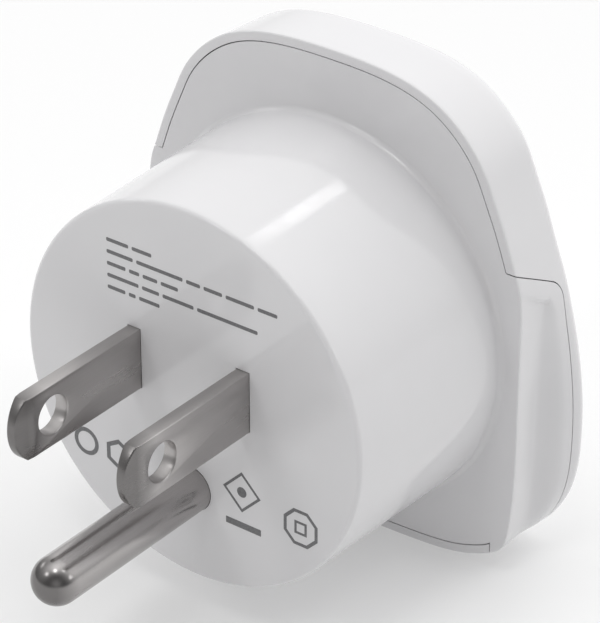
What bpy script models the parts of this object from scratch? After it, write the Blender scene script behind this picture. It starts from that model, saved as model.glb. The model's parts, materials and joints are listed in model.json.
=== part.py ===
"""A travel plug adaptor: a North American plug on a round barrel, and a shuttered British socket in front.

The frame has +Z up. The plug's pins point along +Y and the socket faces -Y. The origin is the centre of the
flat rear face, which meets the wall. Lengths are in metres.
"""

import math

import bmesh
import bpy
from mathutils import Matrix, Vector

MM = 0.001

# Gaps between pieces that touch on the real object.
SEAM_GAP = 0.2 * MM
FIT_GAP = 0.1 * MM
REST_GAP = 0.3 * MM

# Barrel: a round wall with moulding draft, closed at the rear by the face that meets the wall.
BARREL_LENGTH = 21.1 * MM
BARREL_REAR_R = 19.55 * MM
BARREL_FRONT_R = 20.1 * MM
BARREL_WALL = 1.8 * MM
REAR_WALL = 2.2 * MM
REAR_EDGE_FILLET = 0.45 * MM
FLANGE_FILLET = 0.7 * MM
BARREL_ROOT = 1.0 * MM
ROUND_STEPS = 72

# Flange: from the end of the barrel to the socket face.
FLANGE_DEPTH = 8.4 * MM
FRONT_WALL = 2.0 * MM
FRONT_FILLET = 1.6 * MM
LIP = 1.0 * MM
BACK_PLATE = 2.0 * MM
SEAT_STEP = 1.0 * MM
GRIP_DEPTH = 6.3 * MM
GRIP_INNER_X = 19.5 * MM
GRIP_TOP_Z = 10.5 * MM
GRIP_TOP_SLOPE = -0.5
GRIP_CORNER_R = 2.3 * MM
HOLLOW_SCALE = 0.905
BLOCK_SCALE = 0.895
SCALE_CENTRE_Z = 1.0 * MM

# Half of the flange's outline where it meets the barrel, from top centre to bottom centre, in millimetres:
# x, z, and how far the wall has moved outwards when it reaches the socket face.
OUTLINE = (
    (0.0, 27.2, -0.55),
    (5.0, 27.05, -0.55),
    (9.1, 26.4, -0.5),
    (12.4, 25.1, -0.5),
    (15.2, 23.0, -0.5),
    (17.3, 20.4, -0.4),
    (18.65, 17.5, -0.4),
    (20.05, 14.2, -0.4),
    (21.2, 10.9, -0.4),
    (21.85, 9.0, -0.35),
    (22.1, 6.5, 0.25),
    (22.1, 3.5, 1.1),
    (22.08, 0.0, 1.95),
    (22.05, -4.5, 2.7),
    (22.05, -9.0, 2.87),
    (21.9, -13.0, 2.7),
    (21.6, -16.2, 2.0),
    (21.2, -18.7, 0.75),
    (20.35, -20.0, 0.0),
    (18.4, -21.15, -0.2),
    (14.5, -22.3, -0.3),
    (7.5, -22.75, -0.3),
    (0.0, -22.8, -0.3),
)
OUTLINE_STEPS = 2

# Finger scallop in each side grip: a straight wall under a sloping edge, which swings out to the flared
# wall between the valley and the end. These two meet at the scallop's upper corner: each has its depth far
# below the corner, how much that changes at the corner, and the reach of the change.
SCALLOP_TOP_Z = 8.5 * MM
SCALLOP_TOP_SLOPE = -0.45
SCALLOP_CORNER_Z = 6.7 * MM
SCALLOP_VALLEY = (3.05 * MM, 1.1 * MM, 2.7 * MM)
SCALLOP_END = (5.4 * MM, -1.2 * MM, 1.3 * MM)
SCALLOP_NARROWEST = 0.4 * MM
SCALLOP_EDGE = 1.6 * MM
SCALLOP_RINGS = 7

# North American plug: two flat blades and a round earth pin.
BLADE_X = 6.35 * MM
BLADE_Z = 2.09 * MM
BLADE_THICK = 1.5 * MM
BLADE_WIDTH = 6.3 * MM
BLADE_LENGTH = 17.15 * MM
BLADE_STRAIGHT = 15.63 * MM
BLADE_TAPER_Y = 14.9 * MM
BLADE_TIP_THICK = 0.9 * MM
BLADE_HOLE_Y = 12.2 * MM
BLADE_HOLE_R = 1.95 * MM
BLADE_TAIL_WIDTH = 3.6 * MM
BLADE_SHOULDER_WIDTH = 9.0 * MM
BLADE_EDGE = 0.12 * MM
EARTH_PIN_Z = BLADE_Z - 11.89 * MM
EARTH_PIN_R = 2.375 * MM
EARTH_PIN_LENGTH = 21.2 * MM
EARTH_PIN_FLANGE_R = 3.5 * MM
EARTH_PIN_TAIL_R = 1.5 * MM
EARTH_PIN_HEAD_R = 2.2 * MM

# British socket: positions of its holes on the front face, and the size of the holes.
SOCKET_X = 11.1 * MM
SOCKET_EARTH_Z = 13.6 * MM
SOCKET_LIVE_Z = SOCKET_EARTH_Z - 22.2 * MM
LIVE_HOLE = (7.1 * MM, 4.7 * MM)
EARTH_HOLE = (4.7 * MM, 8.7 * MM)

# Stack of inner pieces, as places along Y.
FRONT_Y = -(BARREL_LENGTH + FLANGE_DEPTH)
FRONT_INNER_Y = FRONT_Y + FRONT_WALL
BACK_PLATE_INNER_Y = -(BARREL_LENGTH + BACK_PLATE)
SHOULDER_Y = (-REAR_WALL - 1.8 * MM, -REAR_WALL - REST_GAP)
RETAINER_Y = (-6.5 * MM, -4.3 * MM)
RETAINER_Z = (-12.9 * MM, 6.5 * MM)
RETAINER_R = 17.0 * MM
TAIL_HOLE_CORNER_R = 0.2 * MM
STRAP_Y = (-7.6 * MM, -6.8 * MM)
TAIL_END_Y = -8.3 * MM
BLOCK_REAR_Y = -9.0 * MM
BLOCK_FRONT_Y = FRONT_INNER_Y + 2.6 * MM
BLOCK_PLATE = 1.6 * MM
CONTACT_FRONT_Y = -21.6 * MM
SHUTTER_Y = (FRONT_INNER_Y + REST_GAP, BLOCK_FRONT_Y - REST_GAP)

# Brass straps: the corners of their outlines, as x and z in millimetres.
LIVE_STRAP = (
    (4.9, 5.5),
    (8.1, 5.5),
    (8.1, -1.2),
    (13.4, -6.0),
    (13.4, -11.2),
    (8.8, -11.2),
    (8.8, -7.6),
    (4.9, -3.4),
)
EARTH_STRAP = (
    (-3.2, -12.9),
    (3.2, -12.9),
    (3.2, -7.0),
    (1.9, -5.6),
    (1.9, 8.2),
    (-1.9, 8.2),
    (-1.9, -5.6),
    (-3.2, -7.0),
)
STRAP_CORNER_R = 0.6 * MM

# Spring contacts, and the rivets through their bases. The leaves come closest together at the pinch.
CONTACT_THICK = 0.6 * MM
LIVE_CONTACT_WIDTH = 4.6 * MM
CONTACT_HALF_GAP = 2.75 * MM
CONTACT_PINCH = 2.05 * MM
CONTACT_PINCH_Y = -19.4 * MM
CONTACT_MOUTH_FLARE = 0.1 * MM
CONTACT_LEAF_STEP = (1.5 * MM, 0.15 * MM)
CONTACT_LEAF_LENGTH = 5.0 * MM
CONTACT_BEND_R = 0.8 * MM
CONTACT_BASE_Y = -8.1 * MM
EARTH_RIVET_Z = 5.8 * MM
EARTH_CONTACT_Z = (3.2 * MM, 16.6 * MM)
EARTH_BASE_TOP_Z = 8.4 * MM
RIVET_R = 1.0 * MM
RIVET_HEAD_R = 1.6 * MM
RIVET_HEAD_LOW = 1.1 * MM
RIVET_HEAD_CHAMFER = (0.3 * MM, 0.2 * MM)

# Shutter: its travel uncovers the two live holes.
SHUTTER_TRAVEL = 5.2 * MM
SHUTTER_HALF_WIDTH = 14.9 * MM
SHUTTER_CORNER_R = 1.0 * MM
SHUTTER_Z = (-11.6 * MM, 9.2 * MM)
SHUTTER_WINDOW = (7.3 * MM, 4.9 * MM)
RAMP_HALF_WIDTH = 1.9 * MM
RAMP_REAR_Y = -22.3 * MM
RAMP_TOP_Z = 14.4 * MM
RAMP_TOP_WIDTH = 0.4 * MM
RAMP_ROOT_Z = (SHUTTER_Z[1] - 1.4 * MM, SHUTTER_Z[1] + 0.2 * MM)
PEG_R = 0.45 * MM
PEG_LENGTH = 0.8 * MM

# Contact block: a round core behind a wide front plate. Rails, stops and a shelf in front guide the shutter.
BLOCK_CORE_R = 17.6 * MM
RAIL_X = (15.1 * MM, 16.3 * MM)
RAIL_Z = (-18.5 * MM, 9.0 * MM)
STOP_X = (4.0 * MM, 9.0 * MM)
STOP_HEIGHT = 1.0 * MM
SHELF_HALF_WIDTH = 4.0 * MM
SHELF_Z = (-20.2 * MM, -19.5 * MM)
POCKET_FRONT_GAP = 1.2 * MM
EARTH_POCKET_GAP = 0.4 * MM
CORE_HOLLOW_X = (5.2 * MM, 13.6 * MM)
CORE_HOLLOW_Z = (-3.4 * MM, 7.6 * MM)
CORE_HOLLOW_FRONT_Y = -22.0 * MM
RAMP_SLOT_BELOW = 2.7 * MM
BITE = 0.5 * MM

# Shutter spring, between the shelf and the shutter's lower edge.
SPRING_R = 0.9 * MM
SPRING_WIRE_R = 0.14 * MM
SPRING_TURNS = 5
SPRING_POINTS_PER_TURN = 12

# Screws and the bosses that they go into: x and z of each.
BLOCK_SCREWS = {
    "block_screw_a": (12.2 * MM, 11.8 * MM),
    "block_screw_b": (-12.2 * MM, 11.8 * MM),
    "block_screw_c": (0.0, -15.8 * MM),
}
RETAINER_SCREWS = {
    "retainer_screw_a": (13.6 * MM, 1.6 * MM),
    "retainer_screw_b": (-13.6 * MM, 1.6 * MM),
}
BLOCK_SCREW_LENGTH = 9.0 * MM
BLOCK_PILOT_END_Y = -13.0 * MM
RETAINER_SCREW_LENGTH = 4.9 * MM
RETAINER_PILOT_END_Y = -1.2 * MM
BOSS_R = 2.2 * MM
BOSS_ROOT_Y = -1.5 * MM
SCREW_SHANK_R = 1.0 * MM
SCREW_TIP_R = 0.5 * MM
SCREW_TIP_LENGTH = 1.0 * MM
SCREW_HOLE_R = 1.35 * MM
SCREW_HEAD_R = 2.0 * MM
SCREW_HEAD_DEPTH = 0.9 * MM
SCREW_HEAD_CHAMFER = 0.25 * MM
SCREW_HEAD_GAP = 0.05 * MM
SCREW_RECESS_R = 2.25 * MM
SCREW_RECESS_GAP = 0.15 * MM
CROSS_REACH = 1.1 * MM
CROSS_HALF_WIDTH = 0.25 * MM
CROSS_DEPTH = 0.55 * MM

# How far a cutter reaches past what it cuts, a distance beyond the whole flange, how far two solids sink
# into each other where they join flush, and how close two points of a mesh are when they count as one.
OVERSHOOT = 3.0 * MM
BEYOND = 30.0 * MM
SUNK = 0.02 * MM
WELD = 0.001 * MM
MERGE = WELD / 100

# Looks: a material's name, its colour, its roughness and how metallic it is.

WHITE_GLOSS = ("white_gloss", (0.86, 0.86, 0.87), 0.22, 0.0)
WHITE_MATT = ("white_matt", (0.80, 0.80, 0.79), 0.55, 0.0)
SHUTTER_WHITE = ("shutter_white", (0.83, 0.83, 0.84), 0.45, 0.0)
NICKEL = ("nickel_plate", (0.55, 0.53, 0.51), 0.32, 1.0)
BRASS = ("brass", (0.78, 0.60, 0.30), 0.35, 1.0)
STEEL = ("zinc_steel", (0.62, 0.63, 0.65), 0.35, 1.0)


def clear_scene():
    for obj in list(bpy.data.objects):
        bpy.data.objects.remove(obj)


def new_collection(name):
    collection = bpy.data.collections.new(name)
    bpy.context.scene.collection.children.link(collection)
    return collection


def material(name, colour, roughness, metallic):
    made = bpy.data.materials.new(name)
    made.use_nodes = True
    shader = made.node_tree.nodes["Principled BSDF"]
    shader.inputs["Base Color"].default_value = (*colour, 1.0)
    shader.inputs["Roughness"].default_value = roughness
    shader.inputs["Metallic"].default_value = metallic
    return made


def add_object(name, mesh):
    """A new object in the cutters' collection, from which finish_part takes the finished ones."""
    obj = bpy.data.objects.new(name, mesh)
    obj.hide_render = True
    obj.display_type = "WIRE"
    CUTTERS.objects.link(obj)
    return obj


def finish_part(obj, name, look):
    """Makes a finished solid one of the adaptor's parts, in a material of its own."""
    obj.name = name
    obj.hide_render = False
    obj.display_type = "TEXTURED"
    CUTTERS.objects.unlink(obj)
    PARTS.objects.link(obj)
    obj.data.materials.clear()
    obj.data.materials.append(material(f"{name}_{look[0]}", *look[1:]))


def mesh_object(name, build):
    """A mesh object whose shape build makes in a bmesh."""
    shape = bmesh.new()
    build(shape)
    mesh = bpy.data.meshes.new(name)
    shape.to_mesh(mesh)
    shape.free()
    return add_object(name, mesh)


def box(low, high):
    low = Vector(low)
    high = Vector(high)
    place = Matrix.Translation((low + high) / 2) @ Matrix.Diagonal((*(high - low), 1.0))
    return mesh_object("box", lambda shape: bmesh.ops.create_cube(shape, size=1.0, matrix=place))


def rod_y(x, z, radius, y_low, y_high, steps=24):
    """A cylinder along Y."""
    place = Matrix.Translation((x, (y_low + y_high) / 2, z)) @ Matrix.Rotation(math.pi / 2, 4, "X")

    def build(shape):
        bmesh.ops.create_cone(
            shape,
            cap_ends=True,
            segments=steps,
            radius1=radius,
            radius2=radius,
            depth=y_high - y_low,
            matrix=place,
        )

    rod = mesh_object("rod", build)
    smooth(rod)
    return rod


def rod_z(x, y, radius, z_low, z_high, steps=12):
    """A cylinder along Z."""
    place = Matrix.Translation((x, y, (z_low + z_high) / 2))

    def build(shape):
        bmesh.ops.create_cone(
            shape,
            cap_ends=True,
            segments=steps,
            radius1=radius,
            radius2=radius,
            depth=z_high - z_low,
            matrix=place,
        )

    return mesh_object("peg", build)


def smooth(obj, sharp_degrees=35):
    """Shades an object smooth, except across edges sharper than the angle."""
    obj.data.shade_smooth()
    obj.data.set_sharp_from_angle(angle=math.radians(sharp_degrees))


def turned_y(profile, x=0.0, z=0.0, steps=ROUND_STEPS):
    """A solid turned about a line along Y. The profile is (radius, y), from the highest y to the lowest."""

    def build(shape):
        points = [shape.verts.new((radius, 0.0, y)) for radius, y in profile]
        for first, second in zip(points, points[1:]):
            shape.edges.new((first, second))

    obj = mesh_object("turned", build)
    screw = obj.modifiers.new("Turn", "SCREW")
    screw.steps = screw.render_steps = steps
    screw.use_merge_vertices = True
    screw.merge_threshold = MERGE
    screw.use_smooth_shade = True
    half_step = math.pi / steps
    obj.rotation_euler = (-math.pi / 2, half_step, 0.0)
    obj.location = (x, 0.0, z)
    return obj


def arc(centre, radius, start, end, steps):
    """Points on an arc, angles in degrees, both ends included."""
    angles = [math.radians(start + (end - start) * i / steps) for i in range(steps + 1)]
    return [(centre[0] + radius * math.cos(a), centre[1] + radius * math.sin(a)) for a in angles]


def rounded(corners, radius, steps=3):
    """A closed polygon with every corner rounded to the same radius."""
    points = []
    for i, corner in enumerate(corners):
        here = Vector(corner)
        before = (Vector(corners[i - 1]) - here).normalized()
        after = (Vector(corners[(i + 1) % len(corners)]) - here).normalized()
        half = before.angle(after) / 2
        centre = here + (before + after).normalized() * radius / math.sin(half)
        first = here + before * radius / math.tan(half) - centre
        last = here + after * radius / math.tan(half) - centre
        turn = first.angle_signed(last)
        turns = [Matrix.Rotation(-turn * step / steps, 2) for step in range(steps + 1)]
        points += [tuple(centre + turned @ first) for turned in turns]
    return points


def rectangle(centre, size, radius=0.5 * MM):
    """A rectangle with rounded corners."""
    x, z = centre
    half_x = size[0] / 2
    half_z = size[1] / 2
    signs = ((-1, -1), (1, -1), (1, 1), (-1, 1))
    return rounded([(x + i * half_x, z + k * half_z) for i, k in signs], radius)


def circle(centre, radius, steps=20):
    return arc(centre, radius, 0.0, 360.0 - 360.0 / steps, steps - 1)


# How the plane of an outline lies: the outline's x, its y and its extrusion, as columns.
ACROSS_Y = Matrix(((1, 0, 0, 0), (0, 0, -1, 0), (0, 1, 0, 0), (0, 0, 0, 1)))
ACROSS_X = Matrix(((0, 0, 1, 0), (1, 0, 0, 0), (0, 1, 0, 0), (0, 0, 0, 1)))
ACROSS_Z = Matrix.Identity(4)


def plate(loops, low, high, plane=ACROSS_Y):
    """A flat piece from low to high across the plane. The loops are its outline and its holes."""
    curve = bpy.data.curves.new("outline", "CURVE")
    curve.dimensions = "2D"
    curve.fill_mode = "BOTH"
    curve.extrude = (high - low) / 2
    for loop in loops:
        spline = curve.splines.new("POLY")
        spline.points.add(len(loop) - 1)
        spline.use_cyclic_u = True
        for point, (x, y) in zip(spline.points, loop):
            point.co = (x, y, 0.0, 1.0)
    outline = add_object("outline", curve)
    across = -1.0 if plane is ACROSS_Y else 1.0
    outline.matrix_world = plane @ Matrix.Translation((0.0, 0.0, across * (low + high) / 2))
    return as_mesh(outline)


def as_mesh(curve_object):
    """The curve's solid as a mesh object in the curve's place, with its caps welded on."""
    bpy.context.view_layer.update()
    evaluated = curve_object.evaluated_get(bpy.context.evaluated_depsgraph_get())
    mesh = bpy.data.meshes.new_from_object(evaluated)
    place = curve_object.matrix_world.copy()
    bpy.data.objects.remove(curve_object)
    shape = bmesh.new()
    shape.from_mesh(mesh)
    bmesh.ops.remove_doubles(shape, verts=shape.verts, dist=WELD)
    bmesh.ops.transform(shape, matrix=place, verts=shape.verts)
    bmesh.ops.recalc_face_normals(shape, faces=shape.faces)
    shape.to_mesh(mesh)
    shape.free()
    return add_object("solid", mesh)


def boolean(obj, other, operation):
    modifier = obj.modifiers.new(operation.title(), "BOOLEAN")
    modifier.operation = operation
    modifier.object = other
    return obj


def cut(obj, *others):
    for other in others:
        boolean(obj, other, "DIFFERENCE")
    return obj


def join(obj, *others):
    for other in others:
        boolean(obj, other, "UNION")
    return obj


def common(obj, other):
    return boolean(obj, other, "INTERSECT")


def ease(value):
    """0 below 0, 1 above 1, and a smooth rise between."""
    value = min(max(value, 0.0), 1.0)
    return value * value * (3.0 - 2.0 * value)


def through(before, start, end, after, u):
    """A Catmull-Rom curve from start to end."""
    return (
        start * 2
        + (end - before) * u
        + (before * 2 - start * 5 + end * 4 - after) * u**2
        + (start * 3 - before - end * 3 + after) * u**3
    ) * 0.5


def flange_outline():
    """Points round the flange where it meets the barrel, in XZ, as (place, outward direction, flare)."""
    right = [Vector(anchor) * MM for anchor in OUTLINE]
    left = [Vector((-anchor.x, anchor.y, anchor.z)) for anchor in reversed(right[1:-1])]
    anchors = right + left
    count = len(anchors)
    points = []
    for i in range(count):
        around = [anchors[(i + k) % count] for k in (-1, 0, 1, 2)]
        points += [through(*around, step / OUTLINE_STEPS) for step in range(OUTLINE_STEPS)]
    outline = []
    for i, point in enumerate(points):
        along = (points[(i + 1) % len(points)] - points[i - 1]).xy.normalized()
        outline.append((point.xy, Vector((-along.y, along.x)), point.z))
    return outline


def near_corner(z, values):
    """A depth that changes towards the scallop's upper corner."""
    value, change, reach = values
    return value + change * math.exp(min(z - SCALLOP_CORNER_Z, 0.0) / reach)


def scallop(depth, z, flare):
    """How far the wall stands inside the flared one, at a depth behind the flange's back and a height."""
    below = SCALLOP_TOP_Z + SCALLOP_TOP_SLOPE * depth - z
    valley = near_corner(z, SCALLOP_VALLEY)
    end = max(near_corner(z, SCALLOP_END), valley + SCALLOP_NARROWEST)
    swing = 1.0 - ease((depth - valley) / (end - valley))
    return flare * depth / FLANGE_DEPTH * swing * ease(below / SCALLOP_EDGE)


def flange_ring(depth, inset=0.0):
    """The flange's outline at a depth, moved inwards by inset."""
    ring = []
    for place, outward, flare in flange_outline():
        offset = flare * depth / FLANGE_DEPTH - inset
        if abs(place.x) > GRIP_INNER_X:
            offset -= scallop(depth, place.y, flare)
        moved = place + outward * offset
        ring.append((moved.x, moved.y))
    return ring


def loft_y(rings):
    """A solid through closed rings of points. Each ring is (y, points), from the highest y to the lowest."""

    def build(shape):
        rows = [[shape.verts.new((x, y, z)) for x, z in points] for y, points in rings]
        for upper, lower in zip(rows, rows[1:]):
            for i in range(len(upper)):
                shape.faces.new((upper[i - 1], upper[i], lower[i], lower[i - 1]))
        bmesh.ops.triangulate(shape, faces=shape.faces)
        shape.faces.new(rows[0])
        shape.faces.new(rows[-1])
        bmesh.ops.recalc_face_normals(shape, faces=shape.faces)

    solid = mesh_object("loft", build)
    smooth(solid)
    return solid


def flange_block():
    """The whole flange as one solid, with its scallops and the round edge of the socket face."""
    depths = [SCALLOP_END[0] * step / SCALLOP_RINGS for step in range(SCALLOP_RINGS + 1)]
    rings = [(-BARREL_LENGTH - depth, flange_ring(depth)) for depth in depths]
    for degrees in (0.0, 30.0, 60.0, 90.0):
        turn = math.radians(degrees)
        depth = FLANGE_DEPTH - FRONT_FILLET * (1.0 - math.sin(turn))
        inset = FRONT_FILLET * (1.0 - math.cos(turn))
        rings.append((-BARREL_LENGTH - depth, flange_ring(depth, inset)))
    return loft_y(rings)


def scaled_outline(scale):
    """The flange's outline scaled about a point on its axis of symmetry."""
    centre = Vector((0.0, SCALE_CENTRE_Z))
    return [tuple(centre + (place - centre) * scale) for place, _, _ in flange_outline()]


def grip_zone(side, gap=0.0):
    """The block of space that a side grip takes from the flange, made larger by a gap."""
    front = BARREL_LENGTH + GRIP_DEPTH + gap
    back = BARREL_LENGTH - OVERSHOOT
    top_at_back = GRIP_TOP_Z + gap - GRIP_TOP_SLOPE * OVERSHOOT
    top_at_front = GRIP_TOP_Z + gap + GRIP_TOP_SLOPE * (GRIP_DEPTH + gap)
    corner = Vector((-front, top_at_front))
    slope = Vector((1.0, -GRIP_TOP_SLOPE)).normalized()
    down = Vector((0.0, -1.0))
    half = slope.angle(down) / 2
    start = corner + slope * GRIP_CORNER_R / math.tan(half)
    centre = corner + (slope + down).normalized() * GRIP_CORNER_R / math.sin(half)
    first = math.degrees(math.atan2(start.y - centre.y, start.x - centre.x))
    loop = arc(centre, GRIP_CORNER_R, first, 180.0, 6)
    loop += [(-front, -BEYOND), (-back, -BEYOND), (-back, top_at_back)]
    inner = GRIP_INNER_X - gap
    low, high = (inner, BEYOND) if side > 0 else (-BEYOND, -inner)
    return plate([loop], low, high, ACROSS_X)


def barrel():
    """The barrel as a solid, with its rear edge rounded and a hollow fillet where it meets the flange."""
    fillet_r = BARREL_FRONT_R + FLANGE_FILLET
    fillet_y = -BARREL_LENGTH + FLANGE_FILLET - SUNK
    root_y = -BARREL_LENGTH - BARREL_ROOT
    rear_centre = (BARREL_REAR_R - REAR_EDGE_FILLET, -REAR_EDGE_FILLET)
    profile = [(0.0, 0.0)]
    profile += arc(rear_centre, REAR_EDGE_FILLET, 90.0, 0.0, 3)
    profile += arc((fillet_r, fillet_y), FLANGE_FILLET, 180.0, 270.0, 4)
    profile += [(fillet_r, root_y), (0.0, root_y)]
    return turned_y(profile)


def barrel_bore():
    """The inside of the barrel, open towards the flange."""
    rear_r = BARREL_REAR_R - BARREL_WALL
    front_r = BARREL_FRONT_R - BARREL_WALL
    end = BACK_PLATE_INNER_Y - OVERSHOOT
    return turned_y([(0.0, -REAR_WALL), (rear_r, -REAR_WALL), (front_r, end), (0.0, end)])


def make_rear_shell():
    """Barrel, back plate and side grips, with the bosses inside and the holes for the plug's pins."""
    seat = flange_ring(0.0, LIP + SEAM_GAP / 2)
    kept = loft_y([(-BARREL_LENGTH + OVERSHOOT / 2, seat), (BACK_PLATE_INNER_Y, seat)])
    join(kept, grip_zone(1), grip_zone(-1))
    shell = join(common(flange_block(), kept), barrel())
    inner = scaled_outline(HOLLOW_SCALE)
    cut(shell, loft_y([(BACK_PLATE_INNER_Y, inner), (FRONT_Y, inner)]), barrel_bore())
    boss_end = BACK_PLATE_INNER_Y + SEAM_GAP
    for x, z in BLOCK_SCREWS.values():
        join(shell, rod_y(x, z, BOSS_R, boss_end, BOSS_ROOT_Y))
        cut(shell, rod_y(x, z, SCREW_SHANK_R + FIT_GAP, boss_end - OVERSHOOT, BLOCK_PILOT_END_Y, 16))
    for x, z in RETAINER_SCREWS.values():
        rear = RETAINER_Y[1]
        join(shell, rod_y(x, z, BOSS_R, rear + SEAM_GAP, BOSS_ROOT_Y))
        cut(shell, rod_y(x, z, SCREW_SHANK_R + FIT_GAP, rear - OVERSHOOT, RETAINER_PILOT_END_Y, 16))
    half_x = BLADE_THICK / 2 + FIT_GAP
    half_z = BLADE_WIDTH / 2 + FIT_GAP
    for x in (BLADE_X, -BLADE_X):
        slot_low = (x - half_x, -OVERSHOOT, BLADE_Z - half_z)
        cut(shell, box(slot_low, (x + half_x, OVERSHOOT, BLADE_Z + half_z)))
    cut(shell, rod_y(0.0, EARTH_PIN_Z, EARTH_PIN_R + FIT_GAP, -OVERSHOOT, OVERSHOOT, 32))
    finish_part(shell, "rear_shell", WHITE_GLOSS)


def socket_holes():
    """The outlines of the three holes of the socket: line, neutral and earth."""
    return [
        rectangle((SOCKET_X, SOCKET_LIVE_Z), LIVE_HOLE),
        rectangle((-SOCKET_X, SOCKET_LIVE_Z), LIVE_HOLE),
        rectangle((0.0, SOCKET_EARTH_Z), EARTH_HOLE),
    ]


def make_front_shell():
    """The rim and the socket face, whose lip wraps round the rear shell's back plate."""
    shell = flange_block()
    for side in (1, -1):
        cut(shell, grip_zone(side, SEAM_GAP))
    seat = flange_ring(0.0, LIP - SEAM_GAP / 2)
    seat_end = BACK_PLATE_INNER_Y - SEAM_GAP
    cut(shell, loft_y([(-BARREL_LENGTH + OVERSHOOT, seat), (seat_end, seat)]))
    inner = scaled_outline(HOLLOW_SCALE)
    cut(shell, loft_y([(seat_end + SEAT_STEP, inner), (FRONT_INNER_Y, inner)]))
    for hole in socket_holes():
        cut(shell, plate([hole], FRONT_Y - OVERSHOOT, FRONT_INNER_Y + OVERSHOOT))
    finish_part(shell, "front_shell", WHITE_GLOSS)


def blade_sides(x):
    """The space between a blade's two faces, which taper towards each other at the tip."""
    thick = BLADE_THICK / 2
    end = BLADE_LENGTH + OVERSHOOT
    slope = (thick - BLADE_TIP_THICK / 2) / (BLADE_LENGTH - BLADE_TAPER_Y)
    thin = thick - slope * (end - BLADE_TAPER_Y)
    tail = TAIL_END_Y - OVERSHOOT
    side = [(thick, tail), (thick, BLADE_TAPER_Y), (thin, end)]
    loop = [(x + offset, y) for offset, y in side]
    loop += [(x - offset, y) for offset, y in reversed(side)]
    return plate([loop], BLADE_Z - BLADE_SHOULDER_WIDTH, BLADE_Z + BLADE_SHOULDER_WIDTH, ACROSS_Z)


def make_blade(name, x):
    """A flat blade with a hole and a thin round tip, a shoulder behind the rear wall, and a narrow tail."""
    half = BLADE_WIDTH / 2
    sagitta = BLADE_LENGTH - BLADE_STRAIGHT
    tip_r = (half**2 + sagitta**2) / (2 * sagitta)
    spread = math.degrees(math.asin(half / tip_r))
    tip = arc((BLADE_LENGTH - tip_r, BLADE_Z), tip_r, -spread, spread, 10)
    shoulder_low, shoulder_high = SHOULDER_Y
    side = [
        (shoulder_high, half),
        (shoulder_high, BLADE_SHOULDER_WIDTH / 2),
        (shoulder_low, BLADE_SHOULDER_WIDTH / 2),
        (shoulder_low, BLADE_TAIL_WIDTH / 2),
        (TAIL_END_Y, BLADE_TAIL_WIDTH / 2),
    ]
    upper = [(y, BLADE_Z + z) for y, z in side]
    lower = [(y, BLADE_Z - z) for y, z in reversed(side)]
    hole = circle((BLADE_HOLE_Y, BLADE_Z), BLADE_HOLE_R, 24)
    blade = plate([tip + upper + lower, hole], x - BLADE_THICK, x + BLADE_THICK, ACROSS_X)
    common(blade, blade_sides(x))
    edge = blade.modifiers.new("Edge", "BEVEL")
    edge.width = BLADE_EDGE
    edge.segments = 1
    edge.limit_method = "ANGLE"
    edge.angle_limit = math.radians(60)
    finish_part(blade, name, NICKEL)


def make_earth_pin():
    """A turned pin with a domed tip, a flange behind the rear wall, and a tail riveted over its strap."""
    flange_low, flange_high = SHOULDER_Y
    head_top = STRAP_Y[0] - SEAM_GAP
    profile = arc((0.0, EARTH_PIN_LENGTH - EARTH_PIN_R), EARTH_PIN_R, 90.0, 0.0, 7)
    profile += [
        (EARTH_PIN_R, flange_high),
        (EARTH_PIN_FLANGE_R, flange_high),
        (EARTH_PIN_FLANGE_R, flange_low),
        (EARTH_PIN_TAIL_R, flange_low),
        (EARTH_PIN_TAIL_R, head_top),
        (EARTH_PIN_HEAD_R, head_top),
        (EARTH_PIN_HEAD_R, TAIL_END_Y),
        (0.0, TAIL_END_Y),
    ]
    finish_part(turned_y(profile, z=EARTH_PIN_Z, steps=32), "earth_pin", NICKEL)


def make_pin_retainer():
    """The plate that traps the shoulders of the plug's pins against the rear wall."""
    low, high = RETAINER_Y
    retainer = rod_y(0.0, 0.0, RETAINER_R, low, high, 48)
    wide_low = (-BEYOND, low - OVERSHOOT, RETAINER_Z[0])
    common(retainer, box(wide_low, (BEYOND, high + OVERSHOOT, RETAINER_Z[1])))
    tail = (BLADE_THICK + 4 * FIT_GAP, BLADE_TAIL_WIDTH + 4 * FIT_GAP)
    reach = (low - OVERSHOOT, high + OVERSHOOT)
    for x in (BLADE_X, -BLADE_X):
        cut(retainer, plate([rectangle((x, BLADE_Z), tail, TAIL_HOLE_CORNER_R)], *reach))
    cut(retainer, rod_y(0.0, EARTH_PIN_Z, EARTH_PIN_TAIL_R + FIT_GAP, *reach))
    for x, z in RETAINER_SCREWS.values():
        cut(retainer, rod_y(x, z, SCREW_HOLE_R, *reach))
    finish_part(retainer, "pin_retainer", WHITE_MATT)


def make_straps():
    """Flat brass links from each pin of the plug to its contact."""
    tail = (BLADE_THICK + 2 * FIT_GAP, BLADE_TAIL_WIDTH + 2 * FIT_GAP)
    loops = [
        rounded([(x * MM, z * MM) for x, z in LIVE_STRAP], STRAP_CORNER_R),
        rectangle((BLADE_X, BLADE_Z), tail, TAIL_HOLE_CORNER_R),
        circle((SOCKET_X, SOCKET_LIVE_Z), RIVET_R + FIT_GAP),
    ]
    mirrored = [[(-x, z) for x, z in loop] for loop in loops]
    finish_part(plate(loops, *STRAP_Y), "line_strap", BRASS)
    finish_part(plate(mirrored, *STRAP_Y), "neutral_strap", BRASS)
    loops = [
        rounded([(x * MM, z * MM) for x, z in EARTH_STRAP], STRAP_CORNER_R),
        circle((0.0, EARTH_PIN_Z), EARTH_PIN_TAIL_R + FIT_GAP),
        circle((0.0, EARTH_RIVET_Z), RIVET_R + FIT_GAP),
    ]
    finish_part(plate(loops, *STRAP_Y), "earth_strap", BRASS)


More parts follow.
